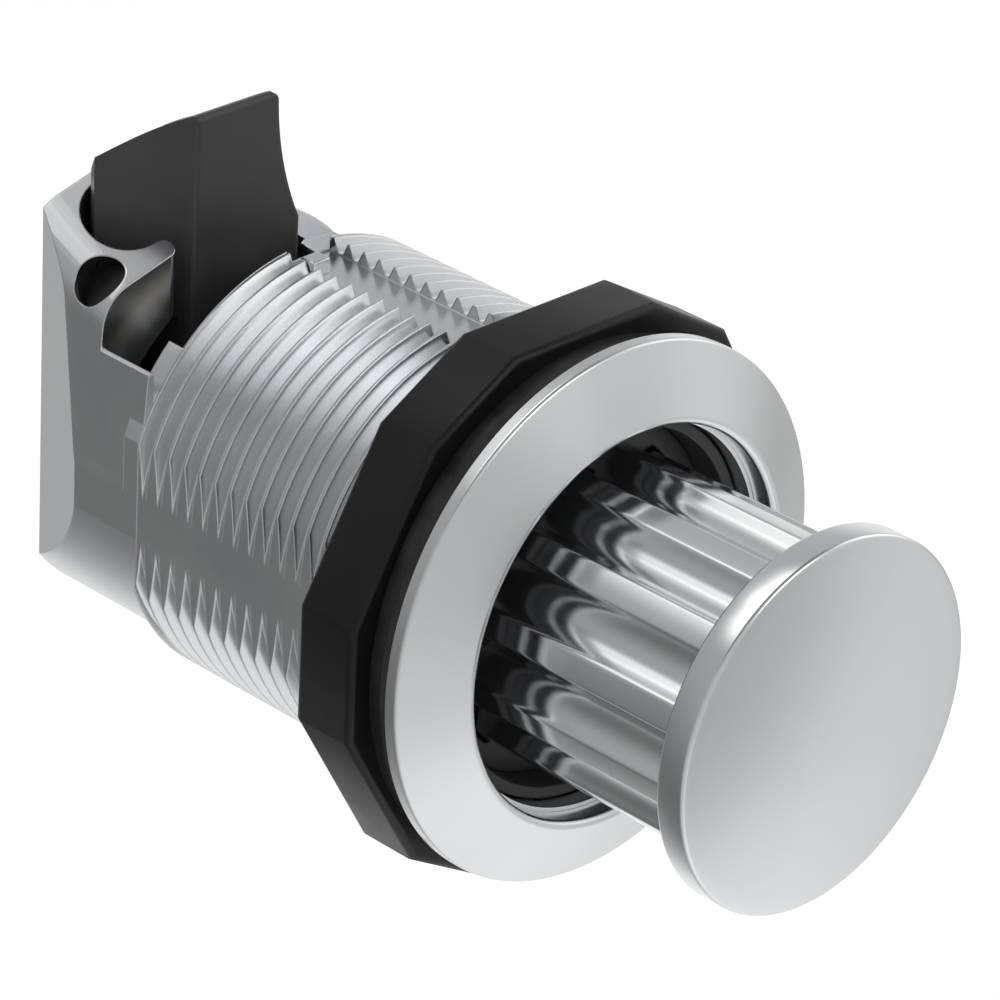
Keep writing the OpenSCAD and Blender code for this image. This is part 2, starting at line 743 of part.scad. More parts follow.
// Compression spring from z = 0 to z = len: a helix whose ends turn straight into their seats
function spring_path(r, wire, turns, len) =
    let (n = turns * rings_per_turn, rise = len - 2 * wire)
    concat(
        [[r, 0, 0, 0]],
        [for (i = [0:n]) [r * cos(360 * i / rings_per_turn), r * sin(360 * i / rings_per_turn), wire + rise * i / n,
                          360 * i / rings_per_turn]],
        [[r * cos(360 * turns), r * sin(360 * turns), len, 360 * turns]]
    );

function xyz(p) = [p[0], p[1], p[2]];

function spring_ring(path, i, wire) =
    let (last = len(path) - 1,
         tangent = i == 0 || i == last ? [0, 0, 1] : xyz(path[i + 1]) - xyz(path[i - 1]),
         t = tangent / norm(tangent),
         out = [cos(path[i][3]), sin(path[i][3]), 0],
         side0 = cross(t, out),
         side = side0 / norm(side0),
         up = cross(side, t))
    [for (k = [0:wire_sides - 1]) xyz(path[i])
        + wire / 2 * (cos(360 * k / wire_sides) * up + sin(360 * k / wire_sides) * side)];

module spring(d_out, wire, turns, len) {
    path = spring_path((d_out - wire) / 2, wire, turns, len);
    n = len(path);
    points = [for (i = [0:n - 1]) each spring_ring(path, i, wire)];
    faces = concat(
        [for (k = [1:wire_sides - 2]) [0, k, k + 1]],
        [for (i = [0:n - 2], k = [0:wire_sides - 1]) let (a = i * wire_sides + k, b = i * wire_sides + (k + 1) % wire_sides)
            each [[a, a + wire_sides, b + wire_sides], [a, b + wire_sides, b]]],
        [for (k = [1:wire_sides - 2]) let (e = (n - 1) * wire_sides) [e, e + k + 1, e + k]]
    );
    gap = (len - 2 * wire) / turns - wire;
    echo(str("least gap between turns of a spring of wire ", wire, " mm: ", gap));
    polyhedron(points, faces);
}

knob_spring_len = floor_front - knob_inside - 2 * seat_gap;
pawl_spring_len = spring_top - seat_z - 2 * seat_gap;

module knob_spring() {
    color("lightsteelblue") translate([0, knob_inside + seat_gap, 0]) along_y()
        spring(knob_spring_d, knob_wire, knob_turns, knob_spring_len);
}

// Cup that turns in the barrel, with a hub through the web and a boss for the follower's pin
module drive_sleeve() {
    color([0.16, 0.16, 0.17]) difference() {
        union() {
            difference() {
                rod(sleeve_r, sleeve_front, sleeve_rear);
                rod(sleeve_bore_r, sleeve_front - cut, floor_front);
            }
            rod(hub_r, sleeve_rear - slab, hub_rear);
            translate([-pin_boss_w / 2, pivot_y - pin_boss_w / 2, pin_boss_z0])
                cube([pin_boss_w, floor_front - pivot_y + pin_boss_w, pin_boss_z1 - pin_boss_z0]);
        }
        rod(bar_hole_r, floor_front - cut, hub_rear + cut);
        translate([0, pivot_y, 0]) cylinder(r = follower_pin_d / 2 + seat_gap, h = sleeve_r / 2);
        translate([crank_x, 0, crank_z]) rod(crank_pin_d / 2 + seat_gap, sleeve_rear, hub_rear + cut);
        difference() {
            rod(hub_r + cut, clip_front - run_gap / 2, clip_front + clip_t + run_gap / 2);
            rod(hub_r - clip_groove, clip_front - cut, clip_front + clip_t + cut);
        }
    }
}

// Ring in the sleeve's mouth whose ribs lie in the neck's flutes
module spline_ring() {
    color([0.1, 0.1, 0.11]) {
        tube(sleeve_bore_r - seat_gap, neck_r + slide_gap, ring_front, ring_rear);
        intersection() {
            flutes(flute_r - slide_gap, ring_front, ring_rear);
            rod(neck_r + slide_gap + run_gap, ring_front, ring_rear);
        }
    }
}

module retaining_ring() {
    color("gray") difference() {
        tube(clip_inner_r + clip_w, clip_inner_r, clip_front, clip_front + clip_t);
        section(clip_front - cut, clip_front + clip_t + cut)
            polygon([[0, 0], 2 * hub_r * [-sin(clip_open / 2), -cos(clip_open / 2)],
                     2 * hub_r * [sin(clip_open / 2), -cos(clip_open / 2)]]);
    }
}

module thrust_washer() {
    color("burlywood") tube(clip_inner_r + clip_w + small_step, hub_r + run_gap, thrust_front, thrust_front + thrust_t);
}

// Pin pressed into the hub, with a small head that keeps the roller on
module crank_pin() {
    color("gray") translate([crank_x, 0, crank_z]) {
        rod(crank_pin_d / 2, sleeve_rear + seat_gap, roller_front + roller_len + run_gap);
        rod(crank_pin_d / 2 + small_step, roller_front + roller_len + run_gap, pawl_front - run_gap);
    }
}

module crank_roller() {
    color("darkgray") translate([crank_x, 0, crank_z])
        tube(roller_r, crank_pin_d / 2 + run_gap / 2, roller_front, roller_front + roller_len);
}

// Bent wire: an eye on the pivot pin, an arm along the bar and a tip in the track
module cam_follower() {
    r = follower_d / 2;
    arm_z = bar_t / 2 + slide_gap + r;
    color("silver") {
        difference() {
            union() {
                translate([0, pivot_y, arm_z - r]) cylinder(r = follower_pin_d / 2 + run_gap / 2 + 2 * small_step, h = follower_d);
                translate([0, 0, arm_z]) rod(r, tip_y, pivot_y - follower_pin_d / 2);
                translate([0, tip_y, bar_t / 2 - track_depth + slide_gap]) cylinder(r = r, h = track_depth + r);
                translate([0, tip_y, arm_z]) sphere(r = r, $fn = 24);
            }
            translate([0, pivot_y, 0]) cylinder(r = follower_pin_d / 2 + run_gap / 2, h = sleeve_r / 2);
        }
    }
}

module follower_pin() {
    color("gray") translate([0, pivot_y, bar_t / 2 + slide_gap])
        cylinder(d = follower_pin_d, h = pin_boss_z1 - bar_t / 2 - slide_gap);
}

// Front face, seen from the front: straight left edge, right edge drawn in to a round corner at the tip
module pawl_front_outline() {
    rise = pawl_top - taper_z;
    curve_r = (rise * rise + tip_taper * tip_taper) / (2 * tip_taper);
    tip_x = pawl_right - tip_taper;
    polygon(concat(
        [[-wing_reach, pawl_bottom], [pawl_right, pawl_bottom]],
        arc([tip_x + curve_r, pawl_top], curve_r, 180 + asin(rise / curve_r), 180 + asin(tip_corner_r / curve_r)),
        rest(arc([tip_x - tip_corner_r, pawl_top - tip_corner_r], tip_corner_r, 0, 90, 6)),
        [[-wing_reach, pawl_top]]
    ));
}

// Blade with the wing on its left, seen from above
module pawl_plan() {
    tip = [-wing_reach, pawl_rear - wing_corner];
    root = [-pawl_left, wing_front];
    mid = (tip + root) / 2;
    half = norm(tip - root) / 2;
    away = [tip[1] - root[1], root[0] - tip[0]] / (-2 * half);
    difference() {
        polygon([[-pawl_left + pawl_edge, pawl_front], [pawl_right, pawl_front], [pawl_right, pawl_rear],
                 [-wing_reach + 2 * wing_corner / 3, pawl_rear], tip, root, [-pawl_left, pawl_front + pawl_edge]]);
        translate(mid + away * sqrt(wing_hollow_r * wing_hollow_r - half * half)) circle(r = wing_hollow_r, $fn = 180);
    }
}

// Side view: front face, rounded front edge, curved slam face and back
module pawl_side_outline() {
    tip_y0 = pawl_front + pawl_edge;
    centre = [tip_y0 - slam_r * sin(slam_angle), pawl_top - slam_r * cos(slam_angle)];
    polygon(concat(
        [[pawl_front, pawl_bottom]],
        arc([tip_y0, pawl_top - pawl_edge], pawl_edge, 180, 90, 6),
        rest(arc(centre, slam_r, 90 - slam_angle, acos((pawl_rear - centre[0]) / slam_r))),
        [[pawl_rear, pawl_bottom]]
    ));
}

module pawl() {
    color([0.15, 0.15, 0.16]) difference() {
        union() {
            intersection() {
                section(pawl_front - cut, pawl_rear + cut) pawl_front_outline();
                plan(pawl_bottom - cut, pawl_top + cut) pawl_plan();
                translate([-crest_r, 0, 0]) rotate([90, 0, 90]) linear_extrude(2 * crest_r) pawl_side_outline();
                union() {
                    translate([-pawl_left, pawl_front - cut, pawl_bottom - cut])
                        cube([pawl_left + pawl_right, pawl_t + 2 * cut, pawl_top]);
                    translate([-crest_r, pawl_front - cut, wing_bottom]) cube([2 * crest_r, pawl_t + 2 * cut, pawl_top]);
                }
            }
            section(fork_front, fork_rear) {
                translate([-pawl_left, crank_z + fork_gap]) square([pawl_left + fork_reach, finger_t]);
                translate([-pawl_left, crank_z - fork_gap - finger_t]) square([pawl_left + fork_reach, finger_t]);
                translate([-pawl_left, crank_z - fork_gap - finger_t])
                    square([pawl_left + pawl_right, 2 * (fork_gap + finger_t)]);
            }
        }
        for (s = [-1, 1]) translate([spring_mid + s * spring_off, spring_y, pawl_bottom - cut])
            cylinder(r = pawl_spring_d / 2 + slide_gap, h = spring_bore + cut);
    }
}

module pawl_spring(side) {
    color("lightsteelblue") translate([spring_mid + side * spring_off, spring_y, seat_z + seat_gap])
        spring(pawl_spring_d, pawl_wire, pawl_turns, pawl_spring_len);
}

module pawl_spring_left() {
    pawl_spring(-1);
}

module pawl_spring_right() {
    pawl_spring(1);
}

module rear_cover() {
    color("silver") difference() {
        section(housing_rear - cover_t, housing_rear) cover_outline(0);
        at_screws() rod(screw_d / 2 + slide_gap / 2, housing_rear - cover_t - cut, housing_rear + cut);
    }
}

module cover_seal() {
    color("dimgray") difference() {
        section(recess_front, housing_rear - cover_t) difference() {
            cover_outline(0);
            cover_outline(-cover_seal_w);
        }
        at_screws() rod(boss_d / 2 + slide_gap, recess_front - cut, housing_rear);
    }
}

// Pan-head screws with a hexagon socket
module cover_screws() {
    color("gray") at_screws() difference() {
        union() {
            rod(screw_d / 2, housing_rear - screw_len, housing_rear + cut);
            rod(screw_head_d / 2, housing_rear, housing_rear + screw_head_h);
        }
        translate([0, housing_rear + screw_head_h / 3, 0]) along_y()
            cylinder(d = screw_d * 0.8, h = screw_head_h, $fn = 6);
    }
}

latch_body();
bezel();
gasket();
clamp_washer();
mounting_nut();
knob();
plunger_rod();
rod_pin();
knob_spring();
drive_sleeve();
spline_ring();
retaining_ring();
thrust_washer();
crank_pin();
crank_roller();
cam_follower();
follower_pin();
pawl();
pawl_spring_left();
pawl_spring_right();
rear_cover();
cover_seal();
cover_screws();
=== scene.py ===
# %% [markdown]
# # A push-to-close panel latch, dressed in Blender
# The frame below is the latch as it was built in CAD: every piece already has its real size and place.
# This lesson adds what CAD leaves plain: a true screw thread, rounded edges, finishes, light and a camera.
# All lengths are in metres. The latch's axis runs along Y, the knob faces -Y and the pawl points up.

# %% Load the latch
import math

import bmesh
import bpy
from mathutils import Matrix, Vector


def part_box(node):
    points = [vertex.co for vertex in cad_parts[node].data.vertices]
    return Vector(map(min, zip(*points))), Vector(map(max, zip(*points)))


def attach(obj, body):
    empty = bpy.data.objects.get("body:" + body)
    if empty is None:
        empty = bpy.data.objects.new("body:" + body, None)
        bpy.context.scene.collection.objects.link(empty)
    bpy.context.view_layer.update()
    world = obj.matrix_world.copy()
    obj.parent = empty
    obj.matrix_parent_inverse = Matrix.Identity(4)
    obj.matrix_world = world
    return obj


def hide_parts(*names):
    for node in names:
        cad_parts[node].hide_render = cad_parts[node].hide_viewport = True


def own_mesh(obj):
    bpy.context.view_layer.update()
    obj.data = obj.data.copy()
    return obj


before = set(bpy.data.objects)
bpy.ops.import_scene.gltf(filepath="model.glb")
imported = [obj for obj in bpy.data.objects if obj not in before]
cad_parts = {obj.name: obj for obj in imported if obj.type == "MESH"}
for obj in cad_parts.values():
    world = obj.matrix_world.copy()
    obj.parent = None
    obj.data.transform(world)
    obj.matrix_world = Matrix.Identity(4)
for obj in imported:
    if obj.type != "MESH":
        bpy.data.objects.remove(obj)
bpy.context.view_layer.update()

MM = 0.001

# %% [markdown]
# ## Camera
# The picture is taken from the front, left of the knob and above it, with a long lens, so parallel
# edges stay almost parallel. The rows of a rotation matrix say where the camera's right, up and back point.

# %% Camera at the picture's place
CAMERA_PLACE = (-0.23530, -0.21670, 0.17430)
CAMERA_RIGHT = (0.7100, -0.7025, 0.0488)
CAMERA_UP = (0.2948, 0.3594, 0.8854)
CAMERA_BACK = (-0.6396, -0.6142, 0.4623)
SENSOR = 36.0
LENS = 200.8

eye = bpy.data.cameras.new("eye")
eye.sensor_width = SENSOR
eye.lens = LENS
eye.clip_start = 0.01
eye.clip_end = 20
camera = bpy.data.objects.new("eye", eye)
bpy.context.scene.collection.objects.link(camera)
turn = Matrix((CAMERA_RIGHT, CAMERA_UP, CAMERA_BACK)).transposed().to_quaternion().to_matrix().to_4x4()
camera.matrix_world = Matrix.Translation(CAMERA_PLACE) @ turn
bpy.context.scene.camera = camera
bpy.context.scene.view_settings.view_transform = "Standard"
print("camera is", round(Vector(CAMERA_PLACE).length / MM), "mm from the latch's origin")

# %% [markdown]
# ## Finishes
# Every finish is a small tree of nodes. A helper starts one with its Principled shader and returns both,
# and a second one makes fine noise on Object coordinates, which stay fixed to the piece as it moves.

# %% Helpers for finishes
NOISE_LOW, NOISE_HIGH = 0.3, 0.7  # most of a noise's values lie between these


def finish_of(name, colour, metallic, roughness):
    """A new material with its Principled shader set to plain values."""
    material = bpy.data.materials.new(name)
    material.use_nodes = True
    shader = material.node_tree.nodes["Principled BSDF"]
    shader.inputs["Base Color"].default_value = (*colour, 1)
    shader.inputs["Metallic"].default_value = metallic
    shader.inputs["Roughness"].default_value = roughness
    return material, shader


def noise_on(material, scale, detail, stretch=(1, 1, 1)):
    """A Noise Texture on Object coordinates, scale waves per metre. stretch slows it along an axis."""
    nodes, links = material.node_tree.nodes, material.node_tree.links
    place = nodes.new("ShaderNodeTexCoord")
    mapping = nodes.new("ShaderNodeMapping")
    mapping.inputs["Scale"].default_value = stretch
    noise = nodes.new("ShaderNodeTexNoise")
    noise.inputs["Scale"].default_value = scale
    noise.inputs["Detail"].default_value = detail
    links.new(place.outputs["Object"], mapping.inputs["Vector"])
    links.new(mapping.outputs["Vector"], noise.inputs["Vector"])
    return noise


def spread(material, noise, low, high, socket):
    """Sends the noise, stretched to low..high, into a shader's socket."""
    nodes, links = material.node_tree.nodes, material.node_tree.links
    reach = nodes.new("ShaderNodeMapRange")
    reach.inputs["From Min"].default_value = NOISE_LOW
    reach.inputs["From Max"].default_value = NOISE_HIGH
    reach.inputs["To Min"].default_value = low
    reach.inputs["To Max"].default_value = high
    links.new(noise.outputs["Fac"], reach.inputs["Value"])
    links.new(reach.outputs["Result"], socket)


def tint(material, noise, dark, light, socket):
    """Blends two close colours by the noise."""
    nodes, links = material.node_tree.nodes, material.node_tree.links
    ramp = nodes.new("ShaderNodeValToRGB")
    ramp.color_ramp.elements[0].position = NOISE_LOW
    ramp.color_ramp.elements[1].position = NOISE_HIGH
    ramp.color_ramp.elements[0].color = (*dark, 1)
    ramp.color_ramp.elements[1].color = (*light, 1)
    links.new(noise.outputs["Fac"], ramp.inputs["Fac"])
    links.new(ramp.outputs["Color"], socket)


def grain(material, noise, height, shader, edge):
    """Raises the surface by height where the noise is high. Edges catch light as if rounded by edge."""
    nodes, links = material.node_tree.nodes, material.node_tree.links
    soft = nodes.new("ShaderNodeBevel")
    soft.samples = 8
    soft.inputs["Radius"].default_value = edge
    bump = nodes.new("ShaderNodeBump")
    links.new(soft.outputs["Normal"], bump.inputs["Normal"])
    bump.inputs["Strength"].default_value = 1.0
    bump.inputs["Distance"].default_value = height
    links.new(noise.outputs["Fac"], bump.inputs["Height"])
    links.new(bump.outputs["Normal"], shader.inputs["Normal"])


print("finish helpers ready")

# %% [markdown]
# The barrel, housing and bezel are a zinc casting with a satin nickel plate. The plate mirrors its
# surroundings softly. Its roughness drifts a little, and a faint grain shows where the casting was blasted.

# %% Satin plate on the casting
plate, shader = finish_of("satin_plate", (0.78, 0.79, 0.80), 1.0, 0.24)
drift = noise_on(plate, 140, 2)
spread(plate, drift, 0.20, 0.29, shader.inputs["Roughness"])
tint(plate, drift, (0.74, 0.75, 0.77), (0.80, 0.81, 0.82), shader.inputs["Base Color"])
grain(plate, noise_on(plate, 9000, 2), 0.6e-6, shader, 0.16 * MM)
print("satin plate made")

# %% [markdown]
# The bezel and the knob are polished further. The knob is bright chrome with only a trace of haze.

# %% Polished finishes
bright, shader = finish_of("polished_plate", (0.82, 0.83, 0.84), 1.0, 0.18)
haze = noise_on(bright, 90, 2)
spread(bright, haze, 0.19, 0.25, shader.inputs["Roughness"])
tint(bright, haze, (0.79, 0.80, 0.81), (0.84, 0.85, 0.86), shader.inputs["Base Color"])

chrome, shader = finish_of("bright_chrome", (0.84, 0.85, 0.86), 1.0, 0.15)
haze = noise_on(chrome, 70, 2)
spread(chrome, haze, 0.13, 0.17, shader.inputs["Roughness"])
tint(chrome, haze, (0.81, 0.82, 0.84), (0.86, 0.87, 0.88), shader.inputs["Base Color"])
print("polished finishes made")

# %% [markdown]
# Nut, pawl and sleeve are black mouldings. Light catches a very fine grain on them, so their bump has a
# height of about a thousandth of a millimetre, and the black is never fully black.

# %% Black mouldings
black, shader = finish_of("black_moulding", (0.006, 0.006, 0.006), 0.0, 0.36)
shader.inputs["Specular IOR Level"].default_value = 0.3
cloud = noise_on(black, 160, 3)
spread(black, cloud, 0.31, 0.42, shader.inputs["Roughness"])
tint(black, cloud, (0.0045, 0.0045, 0.0048), (0.0075, 0.0075, 0.0078), shader.inputs["Base Color"])
grain(black, noise_on(black, 6000, 3), 2.5e-6, shader, 0.25 * MM)

pawl_black, shader = finish_of("pawl_moulding", (0.04, 0.04, 0.041), 0.0, 0.42)
shader.inputs["Specular IOR Level"].default_value = 0.4
cloud = noise_on(pawl_black, 200, 3)
spread(pawl_black, cloud, 0.36, 0.48, shader.inputs["Roughness"])
tint(pawl_black, cloud, (0.036, 0.036, 0.037), (0.046, 0.046, 0.047), shader.inputs["Base Color"])
grain(pawl_black, noise_on(pawl_black, 7000, 3), 3e-6, shader, 0.35 * MM)
print("black mouldings made")

# %% [markdown]
# The small inner pieces have finishes of their own: dull rubber, blackened steel for the washer, drawn
# spring wire, turned steel pins, a pale natural plastic washer and a thin satin cover plate.

# %% Finishes of the small pieces
rubber, shader = finish_of("black_rubber", (0.018, 0.018, 0.018), 0.0, 0.7)
cloud = noise_on(rubber, 500, 4)
spread(rubber, cloud, 0.62, 0.8, shader.inputs["Roughness"])
tint(rubber, cloud, (0.013, 0.013, 0.013), (0.025, 0.025, 0.025), shader.inputs["Base Color"])
grain(rubber, noise_on(rubber, 5000, 3), 6e-6, shader, 0.1 * MM)

black_steel, shader = finish_of("blackened_steel", (0.035, 0.035, 0.038), 0.6, 0.38)
cloud = noise_on(black_steel, 400, 3)
spread(black_steel, cloud, 0.3, 0.46, shader.inputs["Roughness"])
tint(black_steel, cloud, (0.025, 0.025, 0.027), (0.05, 0.05, 0.052), shader.inputs["Base Color"])

steel, shader = finish_of("turned_steel", (0.56, 0.57, 0.58), 1.0, 0.28)
lines = noise_on(steel, 3000, 2, (1, 0.05, 1))
spread(steel, lines, 0.22, 0.36, shader.inputs["Roughness"])
tint(steel, lines, (0.50, 0.51, 0.52), (0.62, 0.63, 0.64), shader.inputs["Base Color"])

wire, shader = finish_of("spring_wire", (0.50, 0.51, 0.53), 1.0, 0.22)
lines = noise_on(wire, 2500, 2)
spread(wire, lines, 0.18, 0.3, shader.inputs["Roughness"])
tint(wire, lines, (0.44, 0.45, 0.47), (0.56, 0.57, 0.59), shader.inputs["Base Color"])

acetal, shader = finish_of("natural_plastic", (0.66, 0.63, 0.54), 0.0, 0.4)
cloud = noise_on(acetal, 300, 3)
spread(acetal, cloud, 0.34, 0.48, shader.inputs["Roughness"])
tint(acetal, cloud, (0.62, 0.59, 0.50), (0.70, 0.67, 0.59), shader.inputs["Base Color"])

sheet, shader = finish_of("satin_sheet", (0.64, 0.65, 0.66), 1.0, 0.3)
brushed = noise_on(sheet, 1600, 3, (0.06, 1, 1))
spread(sheet, brushed, 0.26, 0.38, shader.inputs["Roughness"])
tint(sheet, brushed, (0.59, 0.60, 0.61), (0.69, 0.70, 0.71), shader.inputs["Base Color"])
print("finishes of the small pieces made")

# %% [markdown]
# The cross hole's wall gets a near-black finish. It is painted shade that stands in for the darkness deep in
# the hole, not a colour of the plated metal.

# %% Painted shade in the drilled hole
# near-black colour painted on the hole's wall as shade; the metal there is not really this dark
bore_shade, shader = finish_of("painted_shade_bore", (0.006, 0.006, 0.0062), 0.0, 0.45)
cloud = noise_on(bore_shade, 900, 3)
spread(bore_shade, cloud, 0.38, 0.52, shader.inputs["Roughness"])
tint(bore_shade, cloud, (0.004, 0.004, 0.0044), (0.008, 0.008, 0.0084), shader.inputs["Base Color"])
print("finish of the drilled hole made")

# %% [markdown]
# ## Helpers for meshes
# A CAD mesh is loose triangles. A copy of the nut's is welded, and its flat areas become single faces
# again, so that a Bevel modifier can find the true edges. The housing is clipped face by face instead, and
# every corner keeps its CAD normal, because its rounds are too fine to be found again.

# %% Helpers for meshes
WELD = 1e-6
FLAT_ANGLE = 0.6  # degrees between faces that still count as one
ROUND_ANGLE = 30  # degrees, edges sharper than this are rounded
ROUND_STEPS = 3


def link(name, mesh, body, material, slot, *replaced):
    """Puts a finished mesh in the scene: its body, its finish and the CAD nodes that it stands for."""
    piece = bpy.data.objects.new(name, mesh)
    bpy.context.scene.collection.objects.link(piece)
    mesh.materials.clear()
    mesh.materials.append(material)
    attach(piece, body)
    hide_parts(*replaced)
    return piece


def flat_copy(node):
    """A bmesh of the node with its doubles merged and its flat areas joined."""
    mesh = bmesh.new()
    mesh.from_mesh(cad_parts[node].data)
    bmesh.ops.remove_doubles(mesh, verts=mesh.verts, dist=WELD)
    bmesh.ops.dissolve_limit(mesh, angle_limit=math.radians(FLAT_ANGLE), verts=mesh.verts, edges=mesh.edges)
    return mesh


def to_mesh(name, source):
    """Writes a bmesh to a smooth mesh."""
    mesh = bpy.data.meshes.new(name)
    source.to_mesh(mesh)
    source.free()
    mesh.shade_smooth()
    return mesh


def baked(piece):
    """The piece's mesh with its modifiers worked in, as a plain mesh."""
    graph = bpy.context.evaluated_depsgraph_get()
    mesh = bpy.data.meshes.new_from_object(piece.evaluated_get(graph), depsgraph=graph)
    mesh.name = piece.name + "_mesh"
    return mesh


def rounded(mesh, width):
    """The mesh with its edges rounded by a Bevel modifier, worked in."""
    piece = bpy.data.objects.new("rounding", mesh)
    bpy.context.scene.collection.objects.link(piece)
    bevel = piece.modifiers.new("bevel", "BEVEL")
    bevel.width = width
    bevel.segments = ROUND_STEPS
    bevel.limit_method = "ANGLE"
    bevel.angle_limit = math.radians(ROUND_ANGLE)
    bevel.use_clamp_overlap = False
    bevel.harden_normals = False
    bevel.miter_outer = "MITER_ARC"
    level = piece.modifiers.new("level", "WEIGHTED_NORMAL")
    level.mode = "FACE_AREA"
    level.weight = 80
    level.keep_sharp = False
    result = baked(piece)
    bpy.data.objects.remove(piece)
    return result


def part_behind(node, front):
    """A closed mesh of the node behind the plane y = front. Its corners keep the CAD normals."""
    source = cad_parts[node].data
    places, faces, shades = {}, [], []
    for face in source.polygons:
        ring = [(source.vertices[source.loops[i].vertex_index].co, source.corner_normals[i].vector)
                for i in face.loop_indices]
        kept = []
        for k, (here, shade) in enumerate(ring):
            there, other = ring[(k + 1) % len(ring)]
            if here.y >= front:
                kept.append((here, shade))
            if (here.y < front) != (there.y < front):
                share = (front - here.y) / (there.y - here.y)
                kept.append((here.lerp(there, share), shade.lerp(other, share).normalized()))
        numbers, normals = [], []
        for place, shade in kept:
            number = places.setdefault(tuple(round(v / WELD) for v in place), len(places))
            if number not in numbers:
                numbers.append(number)
                normals.append(shade)
        if len(numbers) > 2:
            faces.append(numbers)
            shades += normals
    mesh = bpy.data.meshes.new(node + "_behind")
    mesh.from_pydata([tuple(v * WELD for v in place) for place in places], [], faces)
    closed = bmesh.new()
    closed.from_mesh(mesh)
    rim = [e for e in closed.edges if len(e.link_faces) == 1]
    bmesh.ops.triangle_fill(closed, use_beauty=True, edges=rim, normal=(0, -1, 0))
    closed.to_mesh(mesh)
    closed.free()
    mesh.shade_smooth()
    for face in mesh.polygons[len(faces):]:
        shades += [Vector((0, -1, 0))] * face.loop_total
    mesh.normals_split_custom_set(shades)
    return mesh


print("mesh helpers ready")

# %% [markdown]
# ## The screw thread
# CAD drew the thread as plain rings. The real one is a single helix, and Geometry Nodes can wind it: a
# tooth's outline is carried along a spiral, joined to a turned blank, and then flats and keyway are cut,
# just as on the real barrel. The zigzag along the flats comes from that cut by itself.

# %% Turn a blank
def lathe(name, outline, steps):
    """Turns a closed outline of (radius, y) points round the Y axis."""
    mesh = bmesh.new()
    rings = []
    for k in range(steps):
        a = 2 * math.pi * k / steps
        rings.append([mesh.verts.new((r * math.cos(a), y, r * math.sin(a))) for r, y in outline])
    n = len(outline)
    for k in range(steps):
        here, there = rings[k], rings[(k + 1) % steps]
        for i in range(n):
            mesh.faces.new((here[i], here[(i + 1) % n], there[(i + 1) % n], there[i]))
    bmesh.ops.remove_doubles(mesh, verts=mesh.verts, dist=WELD)
    bmesh.ops.recalc_face_normals(mesh, faces=mesh.faces)
    return mesh


CREST_R, ROOT_R, BORE_R = 16.0 * MM, 15.05 * MM, 13.6 * MM
PITCH = 1.5 * MM
NOSE_R, HUB_HOLE_R = 14.94 * MM, 10.3 * MM
NOSE_FRONT, COLLAR_REAR = -1.3 * MM, 2.6 * MM
WEB_FRONT, BARREL_REAR = 27.2 * MM, 28.35 * MM
FLAT_X = 14.97 * MM
KEY_HALF, KEY_FLOOR = 2.0 * MM, 14.8 * MM
CHAMFER = 0.12 * MM
BARREL_STEPS = 192

blank = lathe("barrel_blank", [
    (BORE_R, NOSE_FRONT), (NOSE_R - CHAMFER, NOSE_FRONT), (NOSE_R, NOSE_FRONT + CHAMFER), (NOSE_R, 0),
    (CREST_R - CHAMFER, 0), (CREST_R, CHAMFER), (CREST_R, COLLAR_REAR - 0.5 * MM), (ROOT_R, COLLAR_REAR),
    (ROOT_R, BARREL_REAR), (HUB_HOLE_R, BARREL_REAR), (HUB_HOLE_R, WEB_FRONT), (BORE_R, WEB_FRONT)],
    BARREL_STEPS)
barrel_mesh = bpy.data.meshes.new("barrel")
blank.to_mesh(barrel_mesh)
blank.free()
barrel = bpy.data.objects.new("barrel", barrel_mesh)
bpy.context.scene.collection.objects.link(barrel)
print("blank has", len(barrel_mesh.polygons), "faces")

# %% [markdown]
# A tree's inputs are named sockets, so the same tree can cut another thread. Each helper below adds one
# node, and the group ends in Realize Instances and Set Material.

# %% Helpers for node groups
def new_group(name, sockets):
    """A geometry group with a Geometry input, the named inputs and a Geometry output."""
    group = bpy.data.node_groups.new(name, "GeometryNodeTree")
    face = group.interface
    face.new_socket("Geometry", in_out="INPUT", socket_type="NodeSocketGeometry")
    for label, kind in sockets:
        face.new_socket(label, in_out="INPUT", socket_type=kind)
    face.new_socket("Geometry", in_out="OUTPUT", socket_type="NodeSocketGeometry")
    return group, group.nodes.new("NodeGroupInput"), group.nodes.new("NodeGroupOutput")


def add(group, kind, values=None, **settings):
    """Adds a node. values maps a socket's name to a number, or to another node's output to link."""
    node = group.nodes.new(kind)
    for key, value in settings.items():
        setattr(node, key, value)
    for key, value in (values or {}).items():
        socket = node.inputs[key]
        if isinstance(value, bpy.types.NodeSocket):
            group.links.new(value, socket)
        else:
            socket.default_value = value
    return node


def maths(group, operation, a, b=0.0):
    """One Math node's result."""
    node = add(group, "ShaderNodeMath", {0: a, 1: b}, operation=operation)
    return node.outputs[0]


def vector_of(group, x=0.0, y=0.0, z=0.0):
    """One Combine XYZ node's result."""
    return add(group, "ShaderNodeCombineXYZ", {"X": x, "Y": y, "Z": z}).outputs[0]


def finish_group(group, output, geometry, material):
    """Ends a group in Realize Instances and Set Material."""
    real = add(group, "GeometryNodeRealizeInstances", {"Geometry": geometry})
    painted = add(group, "GeometryNodeSetMaterial", {"Geometry": real.outputs[0], "Material": material})
    group.links.new(painted.outputs[0], output.inputs[0])


def run_group(piece, group, values):
    """Gives the piece the group as a modifier, sets its inputs by identifier and returns the baked mesh."""
    modifier = piece.modifiers.new(group.name, "NODES")
    modifier.node_group = group
    for item in group.interface.items_tree:
        if item.item_type == "SOCKET" and item.in_out == "INPUT" and item.name in values:
            modifier[item.identifier] = values[item.name]
    mesh = baked(piece)
    piece.modifiers.remove(modifier)
    return mesh


print("node helpers ready")

# %% [markdown]
# The first part of the group winds the thread. Its tooth is a closed outline of four corners, from inside
# the root to the crest. The spiral is wound standing on Z and laid down along the barrel afterwards. It has
# a whole number of turns and runs past both ends of the thread.

